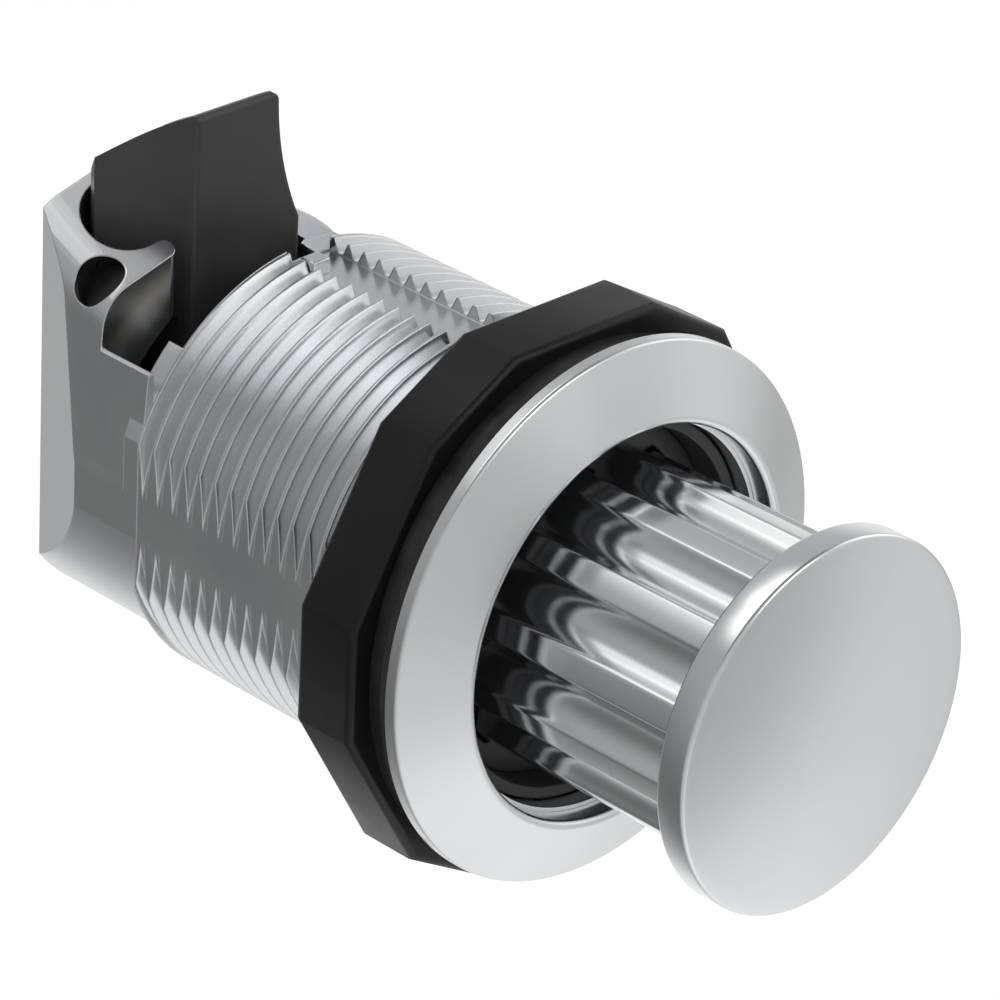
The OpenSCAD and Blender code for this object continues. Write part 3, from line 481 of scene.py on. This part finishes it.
# %% Wind the thread
FLOAT = "NodeSocketFloat"
MATERIAL = "NodeSocketMaterial"
thread_group, inlet, outlet = new_group("screw_thread", [
    ("Crest Radius", FLOAT), ("Root Radius", FLOAT), ("Pitch", FLOAT), ("Start", FLOAT), ("End", FLOAT),
    ("Half Flats", FLOAT), ("Key Half Width", FLOAT), ("Key Floor", FLOAT), ("Steps", "NodeSocketInt"),
    ("Finish", MATERIAL)])
G = thread_group
size = inlet.outputs

length = maths(G, "SUBTRACT", size["End"], size["Start"])
turns = maths(G, "ADD", maths(G, "CEIL", maths(G, "DIVIDE", length, size["Pitch"])), 2.0)
spiral = add(G, "GeometryNodeCurveSpiral", {
    "Resolution": size["Steps"], "Rotations": turns, "Start Radius": size["Root Radius"],
    "End Radius": size["Root Radius"], "Height": maths(G, "MULTIPLY", turns, size["Pitch"])})
upright = add(G, "GeometryNodeSetCurveNormal", {"Curve": spiral.outputs[0]}, mode="Z_UP")

ROOT_SHARE, CREST_SHARE = 5 / 12, 1 / 16  # half widths, as shares of the pitch
SUNK_SHARE = 0.1  # of the tooth's depth, how far it reaches into the blank
depth = maths(G, "SUBTRACT", size["Crest Radius"], size["Root Radius"])
root_half = maths(G, "MULTIPLY", size["Pitch"], ROOT_SHARE)
crest_half = maths(G, "MULTIPLY", size["Pitch"], CREST_SHARE)
sunk = maths(G, "MULTIPLY", depth, SUNK_SHARE)
outward = maths(G, "MULTIPLY", depth, -1.0)
tooth = add(G, "GeometryNodeCurvePrimitiveQuadrilateral", {
    "Point 1": vector_of(G, sunk, maths(G, "MULTIPLY", root_half, -1.0)),
    "Point 2": vector_of(G, outward, maths(G, "MULTIPLY", crest_half, -1.0)),
    "Point 3": vector_of(G, outward, crest_half), "Point 4": vector_of(G, sunk, root_half)}, mode="POINTS")
coil = add(G, "GeometryNodeCurveToMesh", {
    "Curve": upright.outputs[0], "Profile Curve": tooth.outputs[0], "Fill Caps": True})
lay_down = add(G, "GeometryNodeTransform", {
    "Geometry": coil.outputs[0], "Rotation": (-math.pi / 2, 0, 0),
    "Translation": vector_of(G, 0.0, maths(G, "SUBTRACT", size["Start"], size["Pitch"]))})
print("thread group has", len(G.nodes), "nodes so far")

# %% [markdown]
# The coil is trimmed to the thread's length with a cylinder that is wider than the barrel, and then the
# coil and the blank become one.

# %% Trim the coil and join it to the blank
TRIM_R, TRIM_STEPS = 20 * MM, 96
inside = add(G, "GeometryNodeMeshCylinder", {
    "Vertices": TRIM_STEPS, "Radius": TRIM_R, "Depth": length})
inside_place = add(G, "GeometryNodeTransform", {
    "Geometry": inside.outputs[0], "Rotation": (-math.pi / 2, 0, 0),
    "Translation": vector_of(G, 0.0, maths(G, "ADD", size["Start"], maths(G, "MULTIPLY", length, 0.5)))})
cut_coil = add(G, "GeometryNodeMeshBoolean", operation="INTERSECT", solver="EXACT")
G.links.new(lay_down.outputs[0], cut_coil.inputs["Mesh 2"])
G.links.new(inside_place.outputs[0], cut_coil.inputs["Mesh 2"])
threaded = add(G, "GeometryNodeMeshBoolean", operation="UNION", solver="EXACT")
G.links.new(inlet.outputs["Geometry"], threaded.inputs["Mesh 2"])
G.links.new(cut_coil.outputs[0], threaded.inputs["Mesh 2"])
print("thread group has", len(G.nodes), "nodes so far")

# %% [markdown]
# A slab between both flats keeps what lies inside it, and a long block takes out the keyway on top. Slab
# and block are longer than the barrel, so that they cut all the way through.

# %% Cut the flats and the keyway
SLAB_LONG, KEY_LONG, KEY_HIGH = 100 * MM, 60 * MM, 10 * MM
slab = add(G, "GeometryNodeMeshCube", {"Size": vector_of(
    G, maths(G, "MULTIPLY", size["Half Flats"], 2.0), SLAB_LONG, SLAB_LONG)})
flatted = add(G, "GeometryNodeMeshBoolean", operation="INTERSECT", solver="EXACT")
G.links.new(threaded.outputs[0], flatted.inputs["Mesh 2"])
G.links.new(slab.outputs[0], flatted.inputs["Mesh 2"])
key = add(G, "GeometryNodeMeshCube", {"Size": vector_of(
    G, maths(G, "MULTIPLY", size["Key Half Width"], 2.0), KEY_LONG, KEY_HIGH)})
key_place = add(G, "GeometryNodeTransform", {
    "Geometry": key.outputs[0],
    "Translation": vector_of(G, 0.0, KEY_LONG / 2, maths(G, "ADD", size["Key Floor"], KEY_HIGH / 2))})
keyed = add(G, "GeometryNodeMeshBoolean", operation="DIFFERENCE", solver="EXACT")
G.links.new(flatted.outputs[0], keyed.inputs["Mesh 1"])
G.links.new(key_place.outputs[0], keyed.inputs["Mesh 2"])
finish_group(G, outlet, keyed.outputs[0], size["Finish"])
print("thread group has", len(G.nodes), "nodes")

# %% [markdown]
# The group runs on the barrel's blank as a modifier. Its result is kept as a plain mesh, because the
# barrel's measures don't change any more. The thread starts a little inside the collar.

# %% Thread the barrel
THREAD_SHARP = 25  # degrees, edges sharper than this stay sharp in the light
threaded_mesh = run_group(barrel, thread_group, {
    "Crest Radius": CREST_R, "Root Radius": ROOT_R, "Pitch": PITCH, "Start": COLLAR_REAR - 0.4 * MM,
    "End": BARREL_REAR, "Half Flats": FLAT_X, "Key Half Width": KEY_HALF, "Key Floor": KEY_FLOOR,
    "Steps": 96, "Finish": plate})
bpy.data.objects.remove(barrel)
threaded_mesh.set_sharp_from_angle(angle=math.radians(THREAD_SHARP))
print("threaded barrel has", len(threaded_mesh.polygons), "faces")
link("threaded_barrel", threaded_mesh, "housing", plate, "plated_casting", "latch_body")

# %% [markdown]
# A small lug stands in the keyway near its rear end. It stops the washer's key.

# %% The stop lug in the keyway
LUG_LOW = (-1.9 * MM, BARREL_REAR - 2.5 * MM, KEY_FLOOR - 0.05 * MM)
LUG_HIGH = (-0.3 * MM, BARREL_REAR - 1.2 * MM, CREST_R - 0.1 * MM)
LUG_ROUND = 0.15 * MM
block = bmesh.new()
bmesh.ops.create_cube(block, size=1)
for vertex in block.verts:
    vertex.co = Vector([high if part > 0 else low for part, low, high in zip(vertex.co, LUG_LOW, LUG_HIGH)])
lug_mesh = rounded(to_mesh("stop_lug", block), LUG_ROUND)
link("stop_lug", lug_mesh, "housing", plate, "plated_casting", "latch_body")
print("stop lug has", len(lug_mesh.polygons), "faces")

# %% [markdown]
# ## The rear housing
# The housing behind the thread keeps the CAD shape. It is cut off where the turned barrel begins.

# %% Cut the housing from the barrel
behind = part_behind("latch_body", BARREL_REAR)
print("housing behind the barrel has", len(behind.polygons), "faces")

# %% [markdown]
# The cross hole meets the shoulder in an oval. The cutter for its mouth is a short oval rod that stands
# square to the shoulder.

# %% Oval cutter for the mouth of the cross hole
MOUTH_PLACE = Vector((-12.62 * MM, 35.17 * MM, 14.42 * MM))
MOUTH_IN, MOUTH_UP = Vector((0.666, 0, -0.746)), Vector((0.746, 0, 0.666))
MOUTH_HALF_Y, MOUTH_HALF_UP = 1.55 * MM, 1.86 * MM
MOUTH_OUTSIDE, MOUTH_DEPTH = 2.0 * MM, 1.2 * MM
MOUTH_STEPS = 72

oval = bmesh.new()
ends = []
for way in (-MOUTH_OUTSIDE, MOUTH_DEPTH):
    ring = []
    for k in range(MOUTH_STEPS):
        a = 2 * math.pi * k / MOUTH_STEPS
        ring.append(oval.verts.new(MOUTH_PLACE + MOUTH_IN * way + MOUTH_UP * MOUTH_HALF_UP * math.cos(a)
                                   + Vector((0, MOUTH_HALF_Y * math.sin(a), 0))))
    ends.append(ring)
    oval.faces.new(ring)
for k in range(MOUTH_STEPS):
    after = (k + 1) % MOUTH_STEPS
    oval.faces.new((ends[0][k], ends[0][after], ends[1][after], ends[1][k]))
bmesh.ops.recalc_face_normals(oval, faces=oval.faces)
oval_mesh = bpy.data.meshes.new("oval")
oval.to_mesh(oval_mesh)
oval.free()
cutter = bpy.data.objects.new("oval", oval_mesh)
print("oval cutter has", len(oval_mesh.polygons), "faces")

# %% [markdown]
# A Boolean modifier takes the cutter out of the housing, and the result is kept as a plain mesh.

# %% Open the mouth
uncut = bpy.data.objects.new("uncut", behind)
for piece in (cutter, uncut):
    bpy.context.scene.collection.objects.link(piece)
cut = uncut.modifiers.new("mouth", "BOOLEAN")
cut.operation = "DIFFERENCE"
cut.solver = "EXACT"
cut.object = cutter
housing_mesh = baked(uncut)
for piece in (cutter, uncut):
    bpy.data.objects.remove(piece)
housing = link("rear_housing", housing_mesh, "housing", plate, "plated_casting", "latch_body")
print("housing has", len(housing_mesh.polygons), "faces")

# %% [markdown]
# A piece can have more than one finish. A face whose middle lies in the mouth or in the cross hole gets the
# housing's second one, the near-black painted shade for the dark inside of the hole.

# %% Paint shade into the drilled hole
HOLE_Y, HOLE_Z, HOLE_R, HOLE_END_X = 35.2 * MM, 14.3 * MM, 1.4 * MM, -11.5 * MM
MOUTH_SLACK = 1.01  # so that the mouth's own wall counts as inside it
# the second finish paints shade on the faces inside the hole
housing.data.materials.append(bore_shade)
painted = 0
for face in housing.data.polygons:
    middle = face.center
    rise = (middle - MOUTH_PLACE).dot(MOUTH_UP)
    sunk = (middle - MOUTH_PLACE).dot(MOUTH_IN)
    oval_share = math.hypot(rise / MOUTH_HALF_UP, (middle.y - MOUTH_PLACE.y) / MOUTH_HALF_Y)
    in_mouth = oval_share < MOUTH_SLACK and sunk < MOUTH_DEPTH + WELD
    off_axis = math.hypot(middle.y - HOLE_Y, middle.z - HOLE_Z)
    in_hole = -FLAT_X < middle.x < HOLE_END_X and off_axis < HOLE_R
    face.material_index = 1 if in_mouth or in_hole else 0
    painted += face.material_index
print(painted, "faces of the housing are in the drilled hole")

# %% [markdown]
# The nut is a moulding too, and its long edges catch the light where they are rounded.

# %% Round the nut's edges
NUT_ROUND = 0.25 * MM
nut_mesh = rounded(to_mesh("nut", flat_copy("mounting_nut")), NUT_ROUND)
link("ring_nut", nut_mesh, "nut_body", black, "black_plastic", "mounting_nut")
print("nut has", len(nut_mesh.polygons), "faces")

# %% [markdown]
# ## The knob
# The knob is one turned blank: a domed disc, a hollow neck and a stop flange at its inner end. Its outline
# goes from the inside over the flange and the neck to the disc, with small arcs at the edges.

# %% Turn the knob's blank
def bend(centre, radius, first, last, steps):
    """Points of an arc in the (radius, y) plane, angles in degrees."""
    turn = [math.radians(first + (last - first) * i / steps) for i in range(steps + 1)]
    return [(centre[0] + radius * math.cos(a), centre[1] + radius * math.sin(a)) for a in turn]


KNOB_R, KNOB_BACK, KNOB_FRONT, KNOB_DOME = 13.07 * MM, -17.92 * MM, -20.24 * MM, 0.9 * MM
EDGE_R = 0.3 * MM
NECK_R, NECK_BORE, NECK_REAR = 10.95 * MM, 8.2 * MM, 7.7 * MM
FLANGE_R, FLANGE_FRONT = 12.5 * MM, 6.6 * MM
SOCKET_R, SHANK_R, SOCKET_REAR, KNOB_INSIDE = 4.0 * MM, 2.53 * MM, -13.44 * MM, -17.64 * MM
rim_r = KNOB_R - EDGE_R
dome_r = (rim_r ** 2 + KNOB_DOME ** 2) / (2 * KNOB_DOME)
dome_a = math.degrees(math.asin(rim_r / dome_r))
outline = [(0, KNOB_INSIDE), (SHANK_R, KNOB_INSIDE), (SHANK_R, SOCKET_REAR), (SOCKET_R, SOCKET_REAR),
           (SOCKET_R, KNOB_INSIDE), (NECK_BORE, KNOB_INSIDE), (NECK_BORE, NECK_REAR)]
outline += bend((FLANGE_R - EDGE_R, NECK_REAR - EDGE_R), EDGE_R, 90, 0, 4)
outline += bend((FLANGE_R - EDGE_R, FLANGE_FRONT + EDGE_R), EDGE_R, 0, -90, 4)
outline += [(NECK_R, FLANGE_FRONT), (NECK_R, KNOB_BACK)]
outline += bend((rim_r, KNOB_BACK - EDGE_R), EDGE_R, 90, 0, 5)
outline += bend((rim_r, KNOB_FRONT + EDGE_R), EDGE_R, 0, dome_a - 90, 5)
outline += bend((0, KNOB_FRONT - KNOB_DOME + dome_r), dome_r, dome_a - 90, -90, 14)[1:]
KNOB_STEPS = 480
blank = lathe("knob_blank", outline, KNOB_STEPS)
knob_mesh = bpy.data.meshes.new("knob_blank")
blank.to_mesh(knob_mesh)
blank.free()
knob = bpy.data.objects.new("knob_blank", knob_mesh)
bpy.context.scene.collection.objects.link(knob)
print("knob blank has", len(knob_mesh.polygons), "faces")

# %% [markdown]
# Twelve flutes run along the neck. A group pulls the neck's wall in to the outline of the flutes: each
# flute is an arc of a circle that stands outside the neck, and a smooth minimum rounds the edge beside it.
# The group also drills the hole for the cross pin.

# %% Group that draws flutes into a round wall
flute_group, inlet, outlet = new_group("flutes", [
    ("Count", FLOAT), ("Wall Radius", FLOAT), ("Flute Radius", FLOAT), ("Axis Radius", FLOAT),
    ("Edge Rounding", FLOAT), ("Front", FLOAT), ("Pin Radius", FLOAT), ("Pin Length", FLOAT),
    ("Pin Place", FLOAT), ("Finish", MATERIAL)])
G = flute_group
size = inlet.outputs
where = add(G, "GeometryNodeInputPosition")
split = add(G, "ShaderNodeSeparateXYZ", {0: where.outputs[0]})
across = vector_of(G, split.outputs["X"], 0.0, split.outputs["Z"])
reach = add(G, "ShaderNodeVectorMath", {0: across}, operation="LENGTH")
angle = maths(G, "ARCTAN2", split.outputs["Z"], split.outputs["X"])
share = maths(G, "DIVIDE", 2 * math.pi, size["Count"])
nearest = maths(G, "MULTIPLY", share, maths(G, "ROUND", maths(G, "DIVIDE", angle, share)))
off = maths(G, "SUBTRACT", angle, nearest)
aside = maths(G, "MULTIPLY", size["Axis Radius"], maths(G, "SINE", off))
flute_square = maths(G, "POWER", size["Flute Radius"], 2.0)
inner = maths(G, "SUBTRACT", flute_square, maths(G, "POWER", aside, 2.0))
chord = maths(G, "SQRT", maths(G, "MAXIMUM", inner, 0.0))
flute = maths(G, "SUBTRACT", maths(G, "MULTIPLY", size["Axis Radius"], maths(G, "COSINE", off)), chord)
wall = add(G, "ShaderNodeMath", {0: size["Wall Radius"], 1: flute, 2: size["Edge Rounding"]},
           operation="SMOOTH_MIN")
ON_WALL = 0.01 * MM
on_wall = add(G, "FunctionNodeCompare", {
    "A": reach.outputs["Value"], "B": size["Wall Radius"], "Epsilon": ON_WALL},
    operation="EQUAL", data_type="FLOAT")
on_neck = add(G, "FunctionNodeCompare", {"A": split.outputs["Y"], "B": size["Front"]},
              operation="GREATER_THAN", data_type="FLOAT")
chosen = add(G, "FunctionNodeBooleanMath", {0: on_wall.outputs[0], 1: on_neck.outputs[0]}, operation="AND")
wall_x = maths(G, "MULTIPLY", wall.outputs[0], maths(G, "COSINE", angle))
wall_z = maths(G, "MULTIPLY", wall.outputs[0], maths(G, "SINE", angle))
moved = add(G, "GeometryNodeSetPosition", {
    "Geometry": inlet.outputs["Geometry"], "Selection": chosen.outputs[0],
    "Position": vector_of(G, wall_x, split.outputs["Y"], wall_z)})
PIN_STEPS = 48
drill = add(G, "GeometryNodeMeshCylinder", {
    "Vertices": PIN_STEPS, "Radius": size["Pin Radius"], "Depth": size["Pin Length"]})
drill_place = add(G, "GeometryNodeTransform", {
    "Geometry": drill.outputs[0], "Rotation": (0, math.pi / 2, 0),
    "Translation": vector_of(G, 0.0, size["Pin Place"])})
drilled = add(G, "GeometryNodeMeshBoolean", operation="DIFFERENCE", solver="EXACT")
G.links.new(moved.outputs[0], drilled.inputs["Mesh 1"])
G.links.new(drill_place.outputs[0], drilled.inputs["Mesh 2"])
finish_group(G, outlet, drilled.outputs[0], size["Finish"])
print("flute group has", len(G.nodes), "nodes")

# %% [markdown]
# The group runs on the knob's blank. The middles of the flutes' circles lie outside the neck, so each flute
# is wide and shallow, and a narrow land is left beside it.

# %% Flute the knob
FLUTE_SHARP = 32  # degrees, as for the thread
fluted = run_group(knob, flute_group, {
    "Count": 12.0, "Wall Radius": NECK_R, "Flute Radius": 2.4 * MM, "Axis Radius": 12.3 * MM,
    "Edge Rounding": 0.35 * MM, "Front": KNOB_BACK - EDGE_R, "Pin Radius": 0.78 * MM,
    "Pin Length": 9 * MM, "Pin Place": -15.54 * MM, "Finish": chrome})
bpy.data.objects.remove(knob)
fluted.set_sharp_from_angle(angle=math.radians(FLUTE_SHARP))
link("fluted_knob", fluted, "knob_body", chrome, "polished_chrome", "knob")
print("knob has", len(fluted.polygons), "faces")

# %% [markdown]
# ## The springs
# The three springs keep their CAD shape and get the spring wire finish. The length of each and the travel of
# the joint that shortens it are printed.

# %% Springs in spring wire
SPRINGS = {  # node: its body, joint, axis, fixed end and the joint's travel
    "knob_spring": ("sleeve", "knob_push", (0, 1, 0), (0, 25.8 * MM, 0), 17.71 * MM),
    "pawl_spring_left": ("housing", "pawl_slide", (0, 0, 1), (0, 0, -11.6 * MM), 8.91 * MM),
    "pawl_spring_right": ("housing", "pawl_slide", (0, 0, 1), (0, 0, -11.6 * MM), 8.91 * MM)}
for node, (body, joint, axis, fixed, travel) in SPRINGS.items():
    low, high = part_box(node)
    length = (Vector(high) - Vector(low)).dot(Vector(axis))
    spring = link(node + "_wire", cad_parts[node].data.copy(), body, wire, "spring_steel", node)
    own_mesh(spring)
    print(node, "is", round(length / MM, 1), "mm long and shortens by", round(travel / MM, 1), "mm")

# %% [markdown]
# ## Finishes on the CAD pieces
# Pieces whose CAD shape is right stay as they are and get their finish here.

# %% Finishes by node
FINISH = {
    "bezel": bright, "gasket": rubber, "clamp_washer": black_steel, "pawl": pawl_black, "plunger_rod": steel,
    "rod_pin": steel, "drive_sleeve": pawl_black, "spline_ring": pawl_black, "retaining_ring": wire,
    "thrust_washer": acetal, "crank_pin": steel, "crank_roller": steel, "cam_follower": wire,
    "follower_pin": steel, "rear_cover": sheet, "cover_seal": rubber, "cover_screws": steel}
for node, finish in FINISH.items():
    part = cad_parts[node]
    for holder in part.material_slots:
        holder.material = finish
print("finishes on", len(FINISH), "CAD pieces")

# %% [markdown]
# ## Floor, light and world
# The floor is plain and pale and lies well below the latch. It is a little brighter for the camera, so it
# reaches white there and still shows the latch's shadow.

# %% Floor
FLOOR_Z = -0.075
FLOOR_HALF = 3.0
FLOOR_LIFT = 0.26
floor_mesh = bpy.data.meshes.new("floor")
corners = [(x * FLOOR_HALF, y * FLOOR_HALF, FLOOR_Z) for x, y in ((-1, -1), (1, -1), (1, 1), (-1, 1))]
floor_mesh.from_pydata(corners, [], [(0, 1, 2, 3)])
floor = bpy.data.objects.new("floor", floor_mesh)
bpy.context.scene.collection.objects.link(floor)
pale, shader = finish_of("pale_floor", (0.86, 0.86, 0.86), 0.0, 0.8)
nodes, links = pale.node_tree.nodes, pale.node_tree.links
ray = nodes.new("ShaderNodeLightPath")
lift = nodes.new("ShaderNodeMath")
lift.operation = "MULTIPLY"
lift.inputs[1].default_value = FLOOR_LIFT
links.new(ray.outputs["Is Camera Ray"], lift.inputs[0])
links.new(lift.outputs[0], shader.inputs["Emission Strength"])
shader.inputs["Emission Color"].default_value = (1, 1, 1, 1)
floor_mesh.materials.append(pale)
floor.visible_glossy = False
print("floor lies", round(-FLOOR_Z / MM), "mm below the latch's axis")

# %% [markdown]
# The world is white for the camera, for reflections and through clear things, and a plain grey for the
# light that it gives.

# %% World
WORLD_GREY = 0.55
world = bpy.data.worlds.new("studio")
bpy.context.scene.world = world
world.use_nodes = True
nodes, links = world.node_tree.nodes, world.node_tree.links
nodes.clear()
out = nodes.new("ShaderNodeOutputWorld")
sky = nodes.new("ShaderNodeBackground")
sky.inputs["Color"].default_value = (WORLD_GREY, WORLD_GREY, WORLD_GREY, 1)
ray = nodes.new("ShaderNodeLightPath")
white = nodes.new("ShaderNodeBackground")
white.inputs["Color"].default_value = (1, 1, 1, 1)
seen = nodes.new("ShaderNodeMath")
seen.operation = "MAXIMUM"
seen_too = nodes.new("ShaderNodeMath")
seen_too.operation = "MAXIMUM"
mix = nodes.new("ShaderNodeMixShader")
links.new(ray.outputs["Is Camera Ray"], seen.inputs[0])
links.new(ray.outputs["Is Glossy Ray"], seen.inputs[1])
links.new(seen.outputs[0], seen_too.inputs[0])
links.new(ray.outputs["Is Transmission Ray"], seen_too.inputs[1])
links.new(seen_too.outputs[0], mix.inputs["Fac"])
links.new(sky.outputs[0], mix.inputs[1])
links.new(white.outputs[0], mix.inputs[2])
links.new(mix.outputs[0], out.inputs["Surface"])
print("world made")

# %% [markdown]
# Metal looks like what stands round it. A studio tent does that here: a large ball whose inside glows in
# soft patches, white ones like softboxes and grey ones like cards. Only reflections see it.

# %% Patches of the tent
PATCHES = (  # way to the patch, its level, how tight it is
    ((-0.64, 0.61, -0.46), 0.13, 14), ((0.0, 0.89, -0.46), 0.42, 14), ((-0.84, 0.45, 0.20), 0.42, 14),
    ((0.24, 0.09, 0.96), 0.17, 22), ((0.64, 0.61, 0.46), 0.46, 14), ((0.13, 0.38, 0.92), 3.2, 120),
    ((-0.12, 0.42, 0.90), 3.4, 120), ((-0.38, 0.46, 0.80), 2.6, 120), ((-0.45, 0.07, 0.885), 0.20, 30),
    ((-0.10, 0.08, 0.99), 0.19, 30), ((0.92, -0.22, 0.34), 1.3, 30),
    ((0.32, 0.61, 0.72), 0.45, 20), ((-0.46, 0.61, 0.64), 0.37, 20), ((-0.79, 0.61, -0.08), 0.17, 14),
    ((0.465, 0.61, -0.64), 1.0, 20), ((0.79, 0.61, -0.06), 0.9, 20), ((0.28, -0.84, 0.47), 2.6, 80),
    ((0.28, -0.94, 0.18), 0.42, 50), ((0.66, -0.73, 0.18), 0.62, 40), ((0.91, -0.41, -0.03), 0.68, 40),
    ((0.95, -0.09, -0.29), 0.45, 30), ((0.85, 0.15, -0.50), 0.47, 30), ((0.63, 0.03, -0.77), 0.85, 30),
    ((0.42, -0.27, -0.87), 0.95, 30), ((0.10, -0.62, -0.78), 0.97, 30), ((-0.07, -0.87, -0.49), 0.67, 30),
    ((0.0, -1.0, -0.1), 0.53, 30), ((0.50, -0.74, -0.44), 0.42, 60), ((0.67, -0.56, -0.49), 0.66, 60),
    ((0.58, -0.50, -0.65), 0.95, 60), ((0.78, -0.34, -0.53), 0.68, 40))
print("tent has", len(PATCHES), "patches")

# %% [markdown]
# The level of the glow at a point of the ball is the mean of all patches, and each counts for less the
# further it lies from there. Where no patch is near, a plain grey is left.

# %% Levels on the ball
TENT_R, TENT_SPLITS = 2.0, 6
TENT_GREY, GREY_PULL = 0.5, 0.05  # level and weight of the plain grey
ball = bmesh.new()
bmesh.ops.create_icosphere(ball, subdivisions=TENT_SPLITS, radius=TENT_R)
tent_mesh = bpy.data.meshes.new("tent")
ball.to_mesh(tent_mesh)
ball.free()
level = tent_mesh.attributes.new("level", "FLOAT", "POINT")
patches = [(Vector(way).normalized(), value, tight) for way, value, tight in PATCHES]
for vertex in tent_mesh.vertices:
    way = vertex.co.normalized()
    pull = [math.exp(tight * (way.dot(to) - 1)) for to, value, tight in patches]
    total = GREY_PULL * TENT_GREY + sum(p * patch[1] for p, patch in zip(pull, patches))
    level.data[vertex.index].value = total / (GREY_PULL + sum(pull))
print("tent has", len(tent_mesh.vertices), "points")

# %% [markdown]
# The ball's finish gives out light at the stored level. It is switched off for every ray but those of
# reflections, so it lights nothing by itself.

# %% Glow of the tent
glow = bpy.data.materials.new("tent_glow")
glow.use_nodes = True
nodes, links = glow.node_tree.nodes, glow.node_tree.links
nodes.clear()
out = nodes.new("ShaderNodeOutputMaterial")
lit = nodes.new("ShaderNodeEmission")
source = nodes.new("ShaderNodeAttribute")
source.attribute_name = "level"
links.new(source.outputs["Fac"], lit.inputs["Strength"])
links.new(lit.outputs[0], out.inputs["Surface"])
glow.cycles.emission_sampling = "NONE"
tent_mesh.materials.append(glow)
tent = bpy.data.objects.new("tent", tent_mesh)
bpy.context.scene.collection.objects.link(tent)
for sight in ("camera", "diffuse", "transmission", "volume_scatter", "shadow"):
    setattr(tent, "visible_" + sight, False)
print("tent hung")

# %% [markdown]
# Three soft area lamps give plain light from the upper left, the front and the right.

# %% Lamps
def softbox(name, place, aim, width, height, watts):
    """An area lamp at place that faces aim. Reflections see the tent's patches in its stead."""
    lamp = bpy.data.lights.new(name, "AREA")
    lamp.shape = "RECTANGLE"
    lamp.size = width
    lamp.size_y = height
    lamp.energy = watts
    holder = bpy.data.objects.new(name, lamp)
    bpy.context.scene.collection.objects.link(holder)
    back = (Vector(place) - Vector(aim)).normalized()
    holder.matrix_world = Matrix.Translation(place) @ back.to_track_quat("Z", "Y").to_matrix().to_4x4()
    holder.visible_glossy = False


MIDDLE = (0, 0.012, 0)
softbox("top_left", (-0.45, 0.10, 0.55), MIDDLE, 0.5, 0.4, 2)
softbox("front", (0.10, -0.60, 0.25), MIDDLE, 0.5, 0.5, 1.2)
softbox("right", (0.60, -0.05, 0.30), MIDDLE, 0.4, 0.5, 1)
print("lamps placed")
